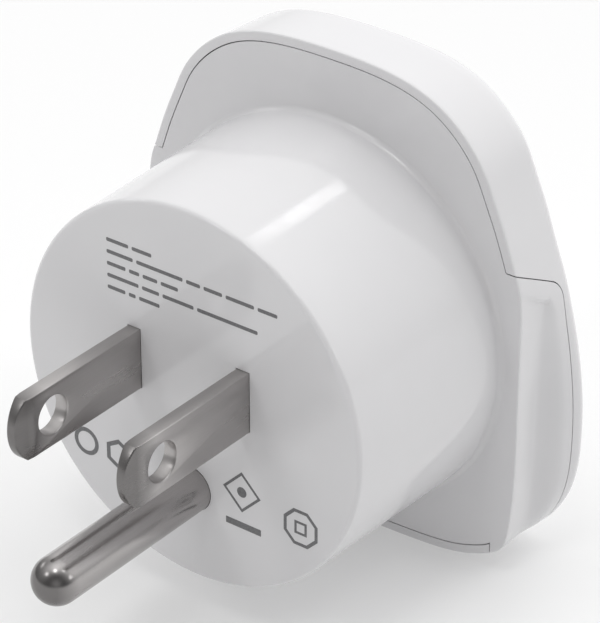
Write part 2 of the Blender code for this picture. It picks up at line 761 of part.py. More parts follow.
def clip_path(front_y):
    """The middle line of a sprung clip as (y, distance from the pin's axis), from one mouth to the other."""
    step_y, step_out = CONTACT_LEAF_STEP
    leaf = [
        (front_y, CONTACT_HALF_GAP + CONTACT_MOUTH_FLARE),
        (CONTACT_PINCH_Y, CONTACT_PINCH),
        (CONTACT_PINCH_Y + step_y, CONTACT_PINCH + step_out),
        (CONTACT_PINCH_Y + CONTACT_LEAF_LENGTH, CONTACT_HALF_GAP),
    ]
    bend = (CONTACT_BASE_Y - CONTACT_BEND_R, CONTACT_HALF_GAP - CONTACT_BEND_R)
    half = leaf + arc(bend, CONTACT_BEND_R, 90.0, 0.0, 3)
    return half + [(y, -offset) for y, offset in reversed(half)]


def strip(path, across, low, high):
    """A bent strip of sheet. The path's points are placed by across, at low and at high."""

    def build(shape):
        ends = [[shape.verts.new(across(y, offset, edge)) for y, offset in path] for edge in (low, high)]
        for i in range(len(path) - 1):
            shape.faces.new((ends[0][i], ends[0][i + 1], ends[1][i + 1], ends[1][i]))

    sheet = mesh_object("strip", build)
    solid = sheet.modifiers.new("Sheet", "SOLIDIFY")
    solid.thickness = CONTACT_THICK
    solid.offset = 0.0
    return sheet


def make_contacts():
    """Sprung clips: the live ones grip a pin from above and below, and the earth one from its sides."""
    hole_y = (CONTACT_BASE_Y - 2 * CONTACT_THICK, CONTACT_BASE_Y + 2 * CONTACT_THICK)
    path = clip_path(CONTACT_FRONT_Y)
    for name, x in (("line_contact", SOCKET_X), ("neutral_contact", -SOCKET_X)):
        low, high = x - LIVE_CONTACT_WIDTH / 2, x + LIVE_CONTACT_WIDTH / 2
        contact = strip(path, lambda y, offset, edge: (edge, y, SOCKET_LIVE_Z + offset), low, high)
        cut(contact, rod_y(x, SOCKET_LIVE_Z, RIVET_R + FIT_GAP, *hole_y, 20))
        finish_part(contact, name, BRASS)
    contact = strip(path, lambda y, offset, edge: (offset, y, edge), *EARTH_CONTACT_Z)
    wide = CONTACT_HALF_GAP + OVERSHOOT
    above_base = (-wide, CONTACT_BASE_Y - CONTACT_BEND_R - 2 * CONTACT_THICK, EARTH_BASE_TOP_Z)
    cut(contact, box(above_base, (wide, CONTACT_BASE_Y + OVERSHOOT, EARTH_CONTACT_Z[1] + OVERSHOOT)))
    cut(contact, rod_y(0.0, EARTH_RIVET_Z, RIVET_R + FIT_GAP, *hole_y, 20))
    finish_part(contact, "earth_contact", BRASS)


def make_rivets():
    """One rivet through each contact's base and its strap."""
    head_low = CONTACT_BASE_Y - RIVET_HEAD_LOW
    head_high = CONTACT_BASE_Y - CONTACT_THICK / 2 - SEAM_GAP
    inward, upward = RIVET_HEAD_CHAMFER
    tail = STRAP_Y[1] + FIT_GAP
    places = {
        "line_rivet": (SOCKET_X, SOCKET_LIVE_Z),
        "neutral_rivet": (-SOCKET_X, SOCKET_LIVE_Z),
        "earth_rivet": (0.0, EARTH_RIVET_Z),
    }
    for name, (x, z) in places.items():
        profile = [(0.0, tail), (RIVET_R, tail), (RIVET_R, head_high), (RIVET_HEAD_R, head_high)]
        profile += [(RIVET_HEAD_R, head_low + upward), (RIVET_HEAD_R - inward, head_low), (0.0, head_low)]
        finish_part(turned_y(profile, x, z, 16), name, STEEL)


def cross(x, z, reach, half):
    """The outline of a cross recess."""
    arm = [(-half, reach), (half, reach), (half, half)]
    turns = [Matrix.Rotation(-math.pi / 2 * i, 2) for i in range(4)]
    points = [turn @ Vector(point) for turn in turns for point in arm]
    return [(x + point.x, z + point.y) for point in points]


def make_screw(name, x, z, head_low, length):
    """A screw whose head faces the socket, with a cross recess in the head."""
    head_high = head_low + SCREW_HEAD_DEPTH
    tip = head_high + length
    profile = [
        (0.0, tip),
        (SCREW_TIP_R, tip),
        (SCREW_SHANK_R, tip - SCREW_TIP_LENGTH),
        (SCREW_SHANK_R, head_high),
        (SCREW_HEAD_R, head_high),
        (SCREW_HEAD_R, head_low + SCREW_HEAD_CHAMFER),
        (SCREW_HEAD_R - SCREW_HEAD_CHAMFER, head_low),
        (0.0, head_low),
    ]
    recess = cross(x, z, CROSS_REACH, CROSS_HALF_WIDTH)
    screw = turned_y(profile, x, z, 16)
    cut(screw, plate([recess], head_low - OVERSHOOT, head_low + CROSS_DEPTH))
    finish_part(screw, name, STEEL)


def make_screws():
    """Three screws hold the contact block, and two shorter ones hold the pin retainer."""
    block_head = BLOCK_FRONT_Y + SCREW_HEAD_GAP
    retainer_head = RETAINER_Y[0] - SEAM_GAP - SCREW_HEAD_DEPTH
    for name, (x, z) in BLOCK_SCREWS.items():
        make_screw(name, x, z, block_head, BLOCK_SCREW_LENGTH)
    for name, (x, z) in RETAINER_SCREWS.items():
        make_screw(name, x, z, retainer_head, RETAINER_SCREW_LENGTH)


def block_body():
    """The contact block without its hollows: core, front plate, rails, stops, shelf and spring peg."""
    front = BLOCK_FRONT_Y
    rail_y = SHUTTER_Y[0]
    body = rod_y(0.0, 0.0, BLOCK_CORE_R, front, BLOCK_REAR_Y, 48)
    outline = scaled_outline(BLOCK_SCALE)
    join(body, loft_y([(front + BLOCK_PLATE, outline), (front, outline)]))
    into = front + BITE
    stop_low = SHUTTER_Z[1] + REST_GAP
    for side in (1, -1):
        rail = sorted((side * RAIL_X[0], side * RAIL_X[1]))
        stop = sorted((side * STOP_X[0], side * STOP_X[1]))
        join(body, box((rail[0], rail_y, RAIL_Z[0]), (rail[1], into, RAIL_Z[1])))
        join(body, box((stop[0], rail_y, stop_low), (stop[1], into, stop_low + STOP_HEIGHT)))
    join(body, box((-SHELF_HALF_WIDTH, rail_y, SHELF_Z[0]), (SHELF_HALF_WIDTH, into, SHELF_Z[1])))
    return join(body, rod_z(0.0, spring_y(), PEG_R, SHELF_Z[1] - REST_GAP, SHELF_Z[1] + PEG_LENGTH))


def make_contact_block():
    """The moulded block that holds the contacts, with a way in for each pin of a British plug."""
    front = BLOCK_FRONT_Y
    block = block_body()
    behind = BLOCK_REAR_Y + OVERSHOOT
    for hole in socket_holes():
        cut(block, plate([hole], front - OVERSHOOT, behind))
    pocket_front = CONTACT_FRONT_Y - POCKET_FRONT_GAP
    half_width = LIVE_CONTACT_WIDTH / 2 + SEAM_GAP
    half_height = CONTACT_HALF_GAP + CONTACT_THICK
    for x in (SOCKET_X, -SOCKET_X):
        low = (x - half_width, pocket_front, SOCKET_LIVE_Z - half_height)
        cut(block, box(low, (x + half_width, behind, SOCKET_LIVE_Z + half_height)))
        hollow = sorted(math.copysign(reach, x) for reach in CORE_HOLLOW_X)
        hollow_low = (hollow[0], CORE_HOLLOW_FRONT_Y, CORE_HOLLOW_Z[0])
        cut(block, box(hollow_low, (hollow[1], behind, CORE_HOLLOW_Z[1])))
    earth_low = (-half_height, pocket_front, EARTH_CONTACT_Z[0] - EARTH_POCKET_GAP)
    cut(block, box(earth_low, (half_height, behind, EARTH_CONTACT_Z[1] + EARTH_POCKET_GAP)))
    slot_low_z = SHUTTER_Z[1] - SHUTTER_TRAVEL - RAMP_SLOT_BELOW
    slot_low = (-RAMP_HALF_WIDTH - REST_GAP, front - OVERSHOOT, slot_low_z)
    slot_high = (RAMP_HALF_WIDTH + REST_GAP, RAMP_REAR_Y + RAMP_TOP_WIDTH, SOCKET_EARTH_Z)
    cut(block, box(slot_low, slot_high))
    for x, z in BLOCK_SCREWS.values():
        cut(block, rod_y(x, z, BOSS_R + REST_GAP, BACK_PLATE_INNER_Y - SEAM_GAP, behind))
        cut(block, rod_y(x, z, SCREW_HOLE_R, front - OVERSHOOT, behind, 20))
        recess_end = front + SCREW_HEAD_DEPTH + SCREW_RECESS_GAP
        cut(block, rod_y(x, z, SCREW_RECESS_R, front - OVERSHOOT, recess_end))
    finish_part(block, "contact_block", WHITE_MATT)


def spring_y():
    return (SHUTTER_Y[0] + SHUTTER_Y[1]) / 2


def make_shutter():
    """A plate with two windows, and a ramp that the earth pin of a plug pushes down."""
    low, high = SHUTTER_Y
    centre_z = (SHUTTER_Z[0] + SHUTTER_Z[1]) / 2
    size = (2 * SHUTTER_HALF_WIDTH, SHUTTER_Z[1] - SHUTTER_Z[0])
    outline = rectangle((0.0, centre_z), size, SHUTTER_CORNER_R)
    window_z = SOCKET_LIVE_Z + SHUTTER_TRAVEL
    windows = [rectangle((x, window_z), SHUTTER_WINDOW) for x in (SOCKET_X, -SOCKET_X)]
    shutter = plate([outline] + windows, low, high)
    ramp = [
        (low, RAMP_ROOT_Z[0]),
        (low, RAMP_ROOT_Z[1]),
        (RAMP_REAR_Y - RAMP_TOP_WIDTH, RAMP_TOP_Z),
        (RAMP_REAR_Y, RAMP_TOP_Z),
        (RAMP_REAR_Y, RAMP_ROOT_Z[0]),
    ]
    join(shutter, plate([ramp], -RAMP_HALF_WIDTH, RAMP_HALF_WIDTH, ACROSS_X))
    join(shutter, rod_z(0.0, spring_y(), PEG_R, SHUTTER_Z[0] - PEG_LENGTH, SHUTTER_Z[0] + BITE))
    finish_part(shutter, "shutter", SHUTTER_WHITE)


def make_shutter_spring():
    """A light compression spring between the shelf and the shutter's lower edge."""
    curve = bpy.data.curves.new("shutter_spring", "CURVE")
    curve.dimensions = "3D"
    curve.fill_mode = "FULL"
    curve.bevel_depth = SPRING_WIRE_R
    curve.bevel_resolution = 1
    curve.use_fill_caps = True
    low = SHELF_Z[1] + SEAM_GAP + SPRING_WIRE_R
    high = SHUTTER_Z[0] - SEAM_GAP - SPRING_WIRE_R
    count = SPRING_TURNS * SPRING_POINTS_PER_TURN
    spline = curve.splines.new("POLY")
    spline.points.add(count)
    for i, point in enumerate(spline.points):
        turn = 2 * math.pi * i / SPRING_POINTS_PER_TURN
        x = SPRING_R * math.cos(turn)
        y = spring_y() + SPRING_R * math.sin(turn)
        point.co = (x, y, low + (high - low) * i / count, 1.0)
    spring = as_mesh(add_object("shutter_spring", curve))
    smooth(spring, 50)
    finish_part(spring, "shutter_spring", STEEL)


clear_scene()
PARTS = new_collection("travel_plug_adaptor")
CUTTERS = new_collection("cutters")
make_rear_shell()
make_front_shell()
make_blade("line_blade", BLADE_X)
make_blade("neutral_blade", -BLADE_X)
make_earth_pin()
make_pin_retainer()
make_straps()
make_contacts()
make_rivets()
make_contact_block()
make_shutter()
make_shutter_spring()
make_screws()
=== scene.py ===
"""Looks for the travel plug adaptor: fine shells, pins, printed marks and spring over the CAD frame.

The frame has +Z up. The plug's pins point along +Y and the socket faces -Y. The origin is the centre of the
flat rear face. Lengths are in metres.
"""

import json
import math

import bmesh
import bpy
from mathutils import Euler, Matrix, Vector


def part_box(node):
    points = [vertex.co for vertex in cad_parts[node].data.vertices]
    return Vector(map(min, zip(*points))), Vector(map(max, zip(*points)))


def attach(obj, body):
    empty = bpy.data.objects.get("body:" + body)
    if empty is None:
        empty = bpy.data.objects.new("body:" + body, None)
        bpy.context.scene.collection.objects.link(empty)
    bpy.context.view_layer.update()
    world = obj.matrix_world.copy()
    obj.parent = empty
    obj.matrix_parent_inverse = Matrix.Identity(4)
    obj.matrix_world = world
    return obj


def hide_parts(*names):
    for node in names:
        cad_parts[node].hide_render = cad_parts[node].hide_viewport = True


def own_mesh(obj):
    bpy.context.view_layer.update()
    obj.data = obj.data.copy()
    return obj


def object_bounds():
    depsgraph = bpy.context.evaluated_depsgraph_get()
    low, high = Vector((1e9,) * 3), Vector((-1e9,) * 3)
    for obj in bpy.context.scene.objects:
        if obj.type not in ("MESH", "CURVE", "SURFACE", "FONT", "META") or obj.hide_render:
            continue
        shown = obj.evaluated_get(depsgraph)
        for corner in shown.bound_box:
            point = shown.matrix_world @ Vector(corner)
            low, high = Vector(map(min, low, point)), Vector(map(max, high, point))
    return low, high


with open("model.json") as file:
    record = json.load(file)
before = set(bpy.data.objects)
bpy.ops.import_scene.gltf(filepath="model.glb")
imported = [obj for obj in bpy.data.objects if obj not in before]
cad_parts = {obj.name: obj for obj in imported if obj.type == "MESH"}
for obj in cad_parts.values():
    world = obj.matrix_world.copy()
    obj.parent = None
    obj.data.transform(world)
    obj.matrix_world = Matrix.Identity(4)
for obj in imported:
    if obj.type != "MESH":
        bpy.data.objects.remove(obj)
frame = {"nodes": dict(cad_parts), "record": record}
CAD_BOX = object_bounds()

MM = 0.001

# The seam between the shells, finer than in the CAD model.
SEAM_GAP = 0.11 * MM

# The shells' sizes, as in the CAD model.
FIT_GAP = 0.1 * MM
PIN_GAP = 0.04 * MM
BARREL_LENGTH = 21.1 * MM
BARREL_REAR_R = 19.55 * MM
BARREL_FRONT_R = 20.1 * MM
BARREL_WALL = 1.8 * MM
REAR_WALL = 2.2 * MM
REAR_EDGE_FILLET = 0.45 * MM
FLANGE_FILLET = 0.7 * MM
FILLET_SUNK = 0.02 * MM
BARREL_ROOT = 1.0 * MM
FLANGE_DEPTH = 8.4 * MM
FRONT_WALL = 2.0 * MM
FRONT_FILLET = 1.6 * MM
BACK_EDGE_FILLET = 0.2 * MM
LIP = 1.0 * MM
BACK_PLATE = 2.0 * MM
SEAT_OVERLAP = 1.0 * MM
GRIP_DEPTH = 6.3 * MM
GRIP_INNER_X = 19.5 * MM
GRIP_TOP_Z = 10.5 * MM
GRIP_TOP_SLOPE = -0.5
GRIP_CORNER_R = 2.3 * MM
HOLLOW_SCALE = 0.905
SCALE_CENTRE_Z = 1.0 * MM
BARREL_STEPS = 160
# A row of vertices this far from a rounded edge keeps the shading of the long face beside it even.
EDGE_SUPPORT = 0.3 * MM

# Half of the flange's outline where it meets the barrel, from top centre to bottom centre, in millimetres:
# x, z, and how far the wall has moved outwards when it reaches the socket face.
OUTLINE = (
    (0.0, 27.2, -0.55),
    (5.0, 27.05, -0.55),
    (9.1, 26.4, -0.5),
    (12.4, 25.1, -0.5),
    (15.2, 23.0, -0.5),
    (17.3, 20.4, -0.4),
    (18.65, 17.5, -0.4),
    (20.05, 14.2, -0.4),
    (21.2, 10.9, -0.4),
    (21.85, 9.0, -0.35),
    (22.1, 6.5, 0.25),
    (22.1, 3.5, 1.1),
    (22.08, 0.0, 1.95),
    (22.05, -4.5, 2.67),
    (22.05, -9.0, 2.83),
    (21.9, -13.0, 2.7),
    (21.6, -16.2, 2.0),
    (21.2, -18.7, 0.75),
    (20.35, -20.0, 0.0),
    (18.4, -21.15, -0.2),
    (14.5, -22.3, -0.3),
    (7.5, -22.75, -0.3),
    (0.0, -22.8, -0.3),
)
OUTLINE_STEPS = 8
OUTLINE_SMOOTHING = 8

# Finger scallop in each side grip: a straight wall behind a sharp upper edge, which swings out to the flared
# wall between the valley and the end. Both move together towards the scallop's upper corner.
SCALLOP_TOP_Z = 8.5 * MM
SCALLOP_TOP_SLOPE = -0.45
SCALLOP_CORNER_Z = 6.7 * MM
SCALLOP_VALLEY = (3.05 * MM, 1.1 * MM, 2.7 * MM)
SCALLOP_END = (5.4 * MM, -1.2 * MM, 1.3 * MM)
SCALLOP_LEAST_SLOPE = 0.4 * MM
SCALLOP_DIP = 0.12 * MM
SCALLOP_DIP_Z = (-21.0 * MM, -17.0 * MM)
SCALLOP_EDGE = 0.45 * MM
SCALLOP_RINGS = 20
# The closely spaced rings go this far past the scallop's end.
SCALLOP_CLEAR = 0.6 * MM
BAND_SWELL = 0.16 * MM
BAND_Z = (2.5 * MM, 7.0 * MM, 9.6 * MM)
BAND_RISE = 4.0 * MM
BAND_FALL = 3.0 * MM
SLIDE_Z = (2.0 * MM, 13.0 * MM)

# The plug's pins.
BLADE_X = 6.35 * MM
BLADE_Z = 2.09 * MM
BLADE_THICK = 1.5 * MM
BLADE_TIP_THICK = 0.9 * MM
BLADE_WIDTH = 6.3 * MM
BLADE_LENGTH = 17.15 * MM
BLADE_STRAIGHT = 15.63 * MM
BLADE_TAPER_Y = 14.9 * MM
BLADE_HOLE_Y = 12.2 * MM
BLADE_HOLE_R = 1.95 * MM
BLADE_TAIL_WIDTH = 3.6 * MM
BLADE_SHOULDER_WIDTH = 9.0 * MM
BLADE_EDGE = 0.12 * MM
BLADE_EDGE_ANGLE = 50
# The coined faces are cut this far past the tip.
BLADE_PAST_TIP = 1.0 * MM
EARTH_PIN_Z = BLADE_Z - 11.89 * MM
EARTH_PIN_R = 2.375 * MM
EARTH_PIN_LENGTH = 21.2 * MM
EARTH_PIN_FLANGE_R = 3.5 * MM
EARTH_PIN_TAIL_R = 1.5 * MM
EARTH_PIN_HEAD_R = 2.2 * MM
EARTH_PIN_FLANGE_Y = (-4.0 * MM, -2.5 * MM)
EARTH_PIN_HEAD_Y = -7.8 * MM
TAIL_END_Y = -8.3 * MM
RETAINER_REAR_Y = -4.3 * MM

# The socket's holes.
SOCKET_X = 11.1 * MM
SOCKET_EARTH_Z = 13.6 * MM
SOCKET_LIVE_Z = SOCKET_EARTH_Z - 22.2 * MM
LIVE_HOLE = (7.1 * MM, 4.7 * MM)
EARTH_HOLE = (4.7 * MM, 8.7 * MM)
HOLE_CORNER_R = 0.5 * MM
HOLE_CHAMFER = 0.4 * MM

# Places of the screws in XZ, and the bosses that they go into.
BLOCK_SCREWS = ((12.2 * MM, 11.8 * MM), (-12.2 * MM, 11.8 * MM), (0.0, -15.8 * MM))
RETAINER_SCREWS = ((13.6 * MM, 1.6 * MM), (-13.6 * MM, 1.6 * MM))
BOSS_R = 2.2 * MM
BOSS_ROOT_Y = -REAR_WALL + 0.7 * MM
BLOCK_SCREW_END_Y = -13.0 * MM
RETAINER_SCREW_END_Y = -1.2 * MM
SCREW_SHANK_R = 1.0 * MM

# Places along Y that several pieces share.
FRONT_Y = -(BARREL_LENGTH + FLANGE_DEPTH)
FRONT_INNER_Y = FRONT_Y + FRONT_WALL
BACK_PLATE_INNER_Y = -(BARREL_LENGTH + BACK_PLATE)

# Cutters go this far past what they cut.
OVERSHOOT = 3.0 * MM
# Further from the origin than any side of the object.
FAR = 30.0 * MM
# Vertices closer than this are merged.
WELD = 0.001 * MM

# How the plane of an outline lies: the outline's x, its y and its extrusion, as columns.
ACROSS_Y = Matrix(((1, 0, 0, 0), (0, 0, -1, 0), (0, 1, 0, 0), (0, 0, 0, 1)))
ACROSS_X = Matrix(((0, 0, 1, 0), (1, 0, 0, 0), (0, 1, 0, 0), (0, 0, 0, 1)))
ACROSS_Z = Matrix.Identity(4)


# ---------------------------------------------------------------- solids


def link(name, data):
    obj = bpy.data.objects.new(name, data)
    bpy.context.scene.collection.objects.link(obj)
    return obj


def mesh_object(name, build):
    """A mesh object whose shape build makes in a bmesh."""
    shape = bmesh.new()
    build(shape)
    mesh = bpy.data.meshes.new(name)
    shape.to_mesh(mesh)
    shape.free()
    return link(name, mesh)


def box(low, high):
    low = Vector(low)
    high = Vector(high)
    place = Matrix.Translation((low + high) / 2) @ Matrix.Diagonal((*(high - low), 1.0))
    return mesh_object("box", lambda shape: bmesh.ops.create_cube(shape, size=1.0, matrix=place))


def skin(shape, rings, triangles=False):
    """Faces between the rings of vertices and over both ends."""
    for upper, lower in zip(rings, rings[1:]):
        for i in range(len(upper)):
            shape.faces.new((upper[i - 1], upper[i], lower[i], lower[i - 1]))
    if triangles:
        bmesh.ops.triangulate(shape, faces=shape.faces)
    shape.faces.new(rings[0])
    shape.faces.new(rings[-1])
    bmesh.ops.recalc_face_normals(shape, faces=shape.faces)


def turned_y(profile, x=0.0, z=0.0, steps=BARREL_STEPS):
    """A solid turned about a line along Y. The profile's points are (radius, y), from the highest y to the
    lowest, and it starts and ends on the axis."""

    def build(shape):
        rings = []
        for radius, y in profile[1:-1]:
            angles = [2 * math.pi * (i + 0.5) / steps for i in range(steps)]
            ring = [shape.verts.new((x + radius * math.cos(a), y, z + radius * math.sin(a))) for a in angles]
            rings.append(ring)
        skin(shape, rings)

    return mesh_object("turned", build)


def rod_y(x, z, radius, y_low, y_high, steps=40):
    """A plain cylinder along Y."""
    return turned_y([(0.0, y_high), (radius, y_high), (radius, y_low), (0.0, y_low)], x, z, steps)


def arc(centre, radius, start, end, steps):
    """Points on an arc, angles in degrees, both ends included."""
    angles = [math.radians(start + (end - start) * i / steps) for i in range(steps + 1)]
    return [(centre[0] + radius * math.cos(a), centre[1] + radius * math.sin(a)) for a in angles]


def rounded(corners, radius, steps=5):
    """A closed polygon with every corner rounded to the same radius."""
    points = []
    for i, corner in enumerate(corners):
        here = Vector(corner)
        before = (Vector(corners[i - 1]) - here).normalized()
        after = (Vector(corners[(i + 1) % len(corners)]) - here).normalized()
        half = before.angle(after) / 2
        centre = here + (before + after).normalized() * radius / math.sin(half)
        first = here + before * radius / math.tan(half) - centre
        last = here + after * radius / math.tan(half) - centre
        turn = first.angle_signed(last)
        points += [tuple(centre + Matrix.Rotation(-turn * s / steps, 2) @ first) for s in range(steps + 1)]
    return points


def rectangle(centre, size, radius):
    x, z = centre
    half_x = size[0] / 2
    half_z = size[1] / 2
    corners = [(x + i * half_x, z + k * half_z) for i, k in ((-1, -1), (1, -1), (1, 1), (-1, 1))]
    return rounded(corners, radius)


def regular(centre, radius, sides, turn=0.0):
    """A regular polygon, whose first corner is at the angle turn, in degrees."""
    return arc(centre, radius, turn, turn + 360.0 - 360.0 / sides, sides - 1)


def circle(centre, radius, sides=48):
    return regular(centre, radius, sides)


def evaluated(obj):
    """The object's mesh with its modifiers applied, or its curve as a mesh."""
    bpy.context.view_layer.update()
    return bpy.data.meshes.new_from_object(obj.evaluated_get(bpy.context.evaluated_depsgraph_get()))


def from_curve(name, curve, place=ACROSS_Z):
    """A closed mesh object made from a curve, moved by the matrix place."""
    drawn = link(name, curve)
    mesh = evaluated(drawn)
    bpy.data.objects.remove(drawn)
    shape = bmesh.new()
    shape.from_mesh(mesh)
    bmesh.ops.remove_doubles(shape, verts=shape.verts, dist=WELD)
    bmesh.ops.transform(shape, matrix=place, verts=shape.verts)
    bmesh.ops.recalc_face_normals(shape, faces=shape.faces)
    shape.to_mesh(mesh)
    shape.free()
    return link(name, mesh)


def plate(loops, low, high, plane=ACROSS_Y):
    """A flat piece: the first loop is its outline and the others are holes. It fills low to high across the
    plane."""
    curve = bpy.data.curves.new("outline", "CURVE")
    curve.dimensions = "2D"
    curve.fill_mode = "BOTH"
    curve.extrude = (high - low) / 2
    for loop in loops:
        spline = curve.splines.new("POLY")
        spline.points.add(len(loop) - 1)
        spline.use_cyclic_u = True
        for point, (x, y) in zip(spline.points, loop):
            point.co = (x, y, 0.0, 1.0)
    across = -1.0 if plane is ACROSS_Y else 1.0
    return from_curve("plate", curve, plane @ Matrix.Translation((0.0, 0.0, across * (low + high) / 2)))


def loft_y(rings):
    """A solid through closed rings of points. Each ring is (y, points), from the highest y to the lowest."""

    def build(shape):
        rows = [[shape.verts.new((x, y, z)) for x, z in points] for y, points in rings]
        skin(shape, rows, triangles=True)

    return mesh_object("loft", build)


def combine(obj, operation, others):
    """Applies the same Boolean with each of the others, which it uses up."""
    for other in others:
        modifier = obj.modifiers.new(operation, "BOOLEAN")
        modifier.operation = operation
        modifier.object = other
    return settle(obj, others)


def settle(obj, used=()):
    """Applies the object's modifiers and removes the objects that they used."""
    mesh = evaluated(obj)
    obj.modifiers.clear()
    obj.data = mesh
    for other in used:
        bpy.data.objects.remove(other)
    return obj


def cut(obj, *others):
    return combine(obj, "DIFFERENCE", others)


def join(obj, *others):
    return combine(obj, "UNION", others)


def common(obj, other):
    return combine(obj, "INTERSECT", [other])


def smooth(obj, sharp_degrees=30):
    """Smooth shading, broken at edges sharper than the angle."""
    obj.data.shade_smooth()
    obj.data.set_sharp_from_angle(angle=math.radians(sharp_degrees))


# ---------------------------------------------------------------- shells


def ease(value):
    """0 below 0, 1 above 1, and a smooth rise between."""
    value = min(max(value, 0.0), 1.0)
    return value * value * (3.0 - 2.0 * value)


def through(before, start, end, after, u):
    """A Catmull-Rom curve from start to end."""
    return (
        start * 2
        + (end - before) * u
        + (before * 2 - start * 5 + end * 4 - after) * u**2
        + (start * 3 - before - end * 3 + after) * u**3
    ) * 0.5


def flange_outline():
    """Points round the flange where it meets the barrel: place and outward direction in XZ, and flare."""
    right = [Vector(anchor) * MM for anchor in OUTLINE]
    left = [Vector((-anchor.x, anchor.y, anchor.z)) for anchor in reversed(right[1:-1])]
    anchors = right + left
    points = []
    for i in range(len(anchors)):
        around = [anchors[(i + k) % len(anchors)] for k in (-1, 0, 1, 2)]
        points += [through(*around, step / OUTLINE_STEPS) for step in range(OUTLINE_STEPS)]
    count = len(points)
    for _ in range(OUTLINE_SMOOTHING):
        points = [(points[i - 1] + points[i] * 2 + points[(i + 1) % count]) / 4 for i in range(count)]
    outline = []
    for i, point in enumerate(points):
        along = (points[(i + 1) % count] - points[i - 1]).xy.normalized()
        outline.append((point.xy, Vector((-along.y, along.x)), point.z))
    return outline


FLANGE_OUTLINE = flange_outline()
EDGE_INDEX = min(
    (i for i, (place, _, _) in enumerate(FLANGE_OUTLINE) if place.x > GRIP_INNER_X),
    key=lambda i: abs(FLANGE_OUTLINE[i][0].y - SCALLOP_TOP_Z),
)


def near_corner(z, values):
    """A depth that changes towards the scallop's upper corner: its value below, the change, and its reach."""
    value, change, reach = values
    return value + change * math.exp(min(z - SCALLOP_CORNER_Z, 0.0) / reach)


def scallop(depth, z, flare):
    """How far the wall stands inside the flared one, at a depth behind the flange's back and a height."""
    below = SCALLOP_TOP_Z + SCALLOP_TOP_SLOPE * depth - z
    valley = near_corner(z, SCALLOP_VALLEY)
    end = max(near_corner(z, SCALLOP_END), valley + SCALLOP_LEAST_SLOPE)
    if below <= 0.0 or not 0.0 < depth < end:
        return 0.0
    dip_low, dip_high = SCALLOP_DIP_Z
    dip = SCALLOP_DIP * math.sin(math.pi * depth / end) * ease((z - dip_low) / (dip_high - dip_low))
    inside = flare * depth / FLANGE_DEPTH + band_swell(depth, z) + dip
    return inside * (1.0 - ease((depth - valley) / (end - valley))) * ease(below / SCALLOP_EDGE)


def band_swell(depth, z):
    """How much the band above the scallop stands out, so that it keeps its slope down to the sharp edge."""
    bottom, middle, top = BAND_Z
    along = ease((top - z) / (top - middle)) * ease((z - bottom) / (middle - bottom))
    return BAND_SWELL * along * ease(depth / BAND_RISE) * ease((FLANGE_DEPTH - depth) / BAND_FALL)


def slid(index, depth):
    """A point of the outline, slid along it so that one row of points follows the scallop's upper edge."""
    here = FLANGE_OUTLINE[index]
    z = here[0].y
    low, high = SLIDE_Z
    if abs(here[0].x) < GRIP_INNER_X or not low < z < high:
        return here
    start = FLANGE_OUTLINE[EDGE_INDEX][0].y
    hat = (high - z) / (high - start) if z > start else (z - low) / (start - low)
    target = z + (SCALLOP_TOP_Z + SCALLOP_TOP_SLOPE * min(depth, SCALLOP_END[0]) - start) * hat
    step = 1 if (FLANGE_OUTLINE[index + 1][0].y - z) * (target - z) > 0.0 else -1
    while (FLANGE_OUTLINE[index + step][0].y - target) * (z - target) > 0.0:
        index += step
    first, second = FLANGE_OUTLINE[index], FLANGE_OUTLINE[index + step]
    part = (target - first[0].y) / (second[0].y - first[0].y)
    return tuple(a + (b - a) * part for a, b in zip(first, second))


def flange_ring(depth, inset=0.0):
    """The flange's outline at a depth, moved inwards by inset."""
    ring = []
    for index in range(len(FLANGE_OUTLINE)):
        place, outward, flare = slid(index, depth)
        offset = flare * depth / FLANGE_DEPTH - inset
        if abs(place.x) > GRIP_INNER_X:
            offset += band_swell(depth, place.y) - scallop(depth, place.y, flare)
        moved = place + outward * offset
        ring.append((moved.x, moved.y))
    return ring


def flange_block():
    """The whole flange as one solid, with its scallops and the round edge of the socket face."""
    rings = []
    for degrees in (0.0, 30.0, 60.0):
        turn = math.radians(degrees)
        inset = BACK_EDGE_FILLET * (1.0 - math.sin(turn))
        depth = BACK_EDGE_FILLET * (1.0 - math.cos(turn))
        rings.append((-BARREL_LENGTH - depth, flange_ring(depth, inset)))
    span = SCALLOP_END[0] + SCALLOP_CLEAR - BACK_EDGE_FILLET
    for i in range(SCALLOP_RINGS + 1):
        depth = BACK_EDGE_FILLET + span * i / SCALLOP_RINGS
        rings.append((-BARREL_LENGTH - depth, flange_ring(depth)))
    for degrees in range(0, 91, 10):
        turn = math.radians(degrees)
        depth = FLANGE_DEPTH - FRONT_FILLET * (1.0 - math.sin(turn))
        inset = FRONT_FILLET * (1.0 - math.cos(turn))
        rings.append((-BARREL_LENGTH - depth, flange_ring(depth, inset)))
    rings.append((FRONT_Y, flange_ring(FLANGE_DEPTH, FRONT_FILLET + EDGE_SUPPORT)))
    return loft_y(rings)


def scaled_outline(scale):
    """The flange's outline scaled about a point on its axis of symmetry."""
    centre = Vector((0.0, SCALE_CENTRE_Z))
    return [tuple(centre + (place - centre) * scale) for place, _, _ in FLANGE_OUTLINE]


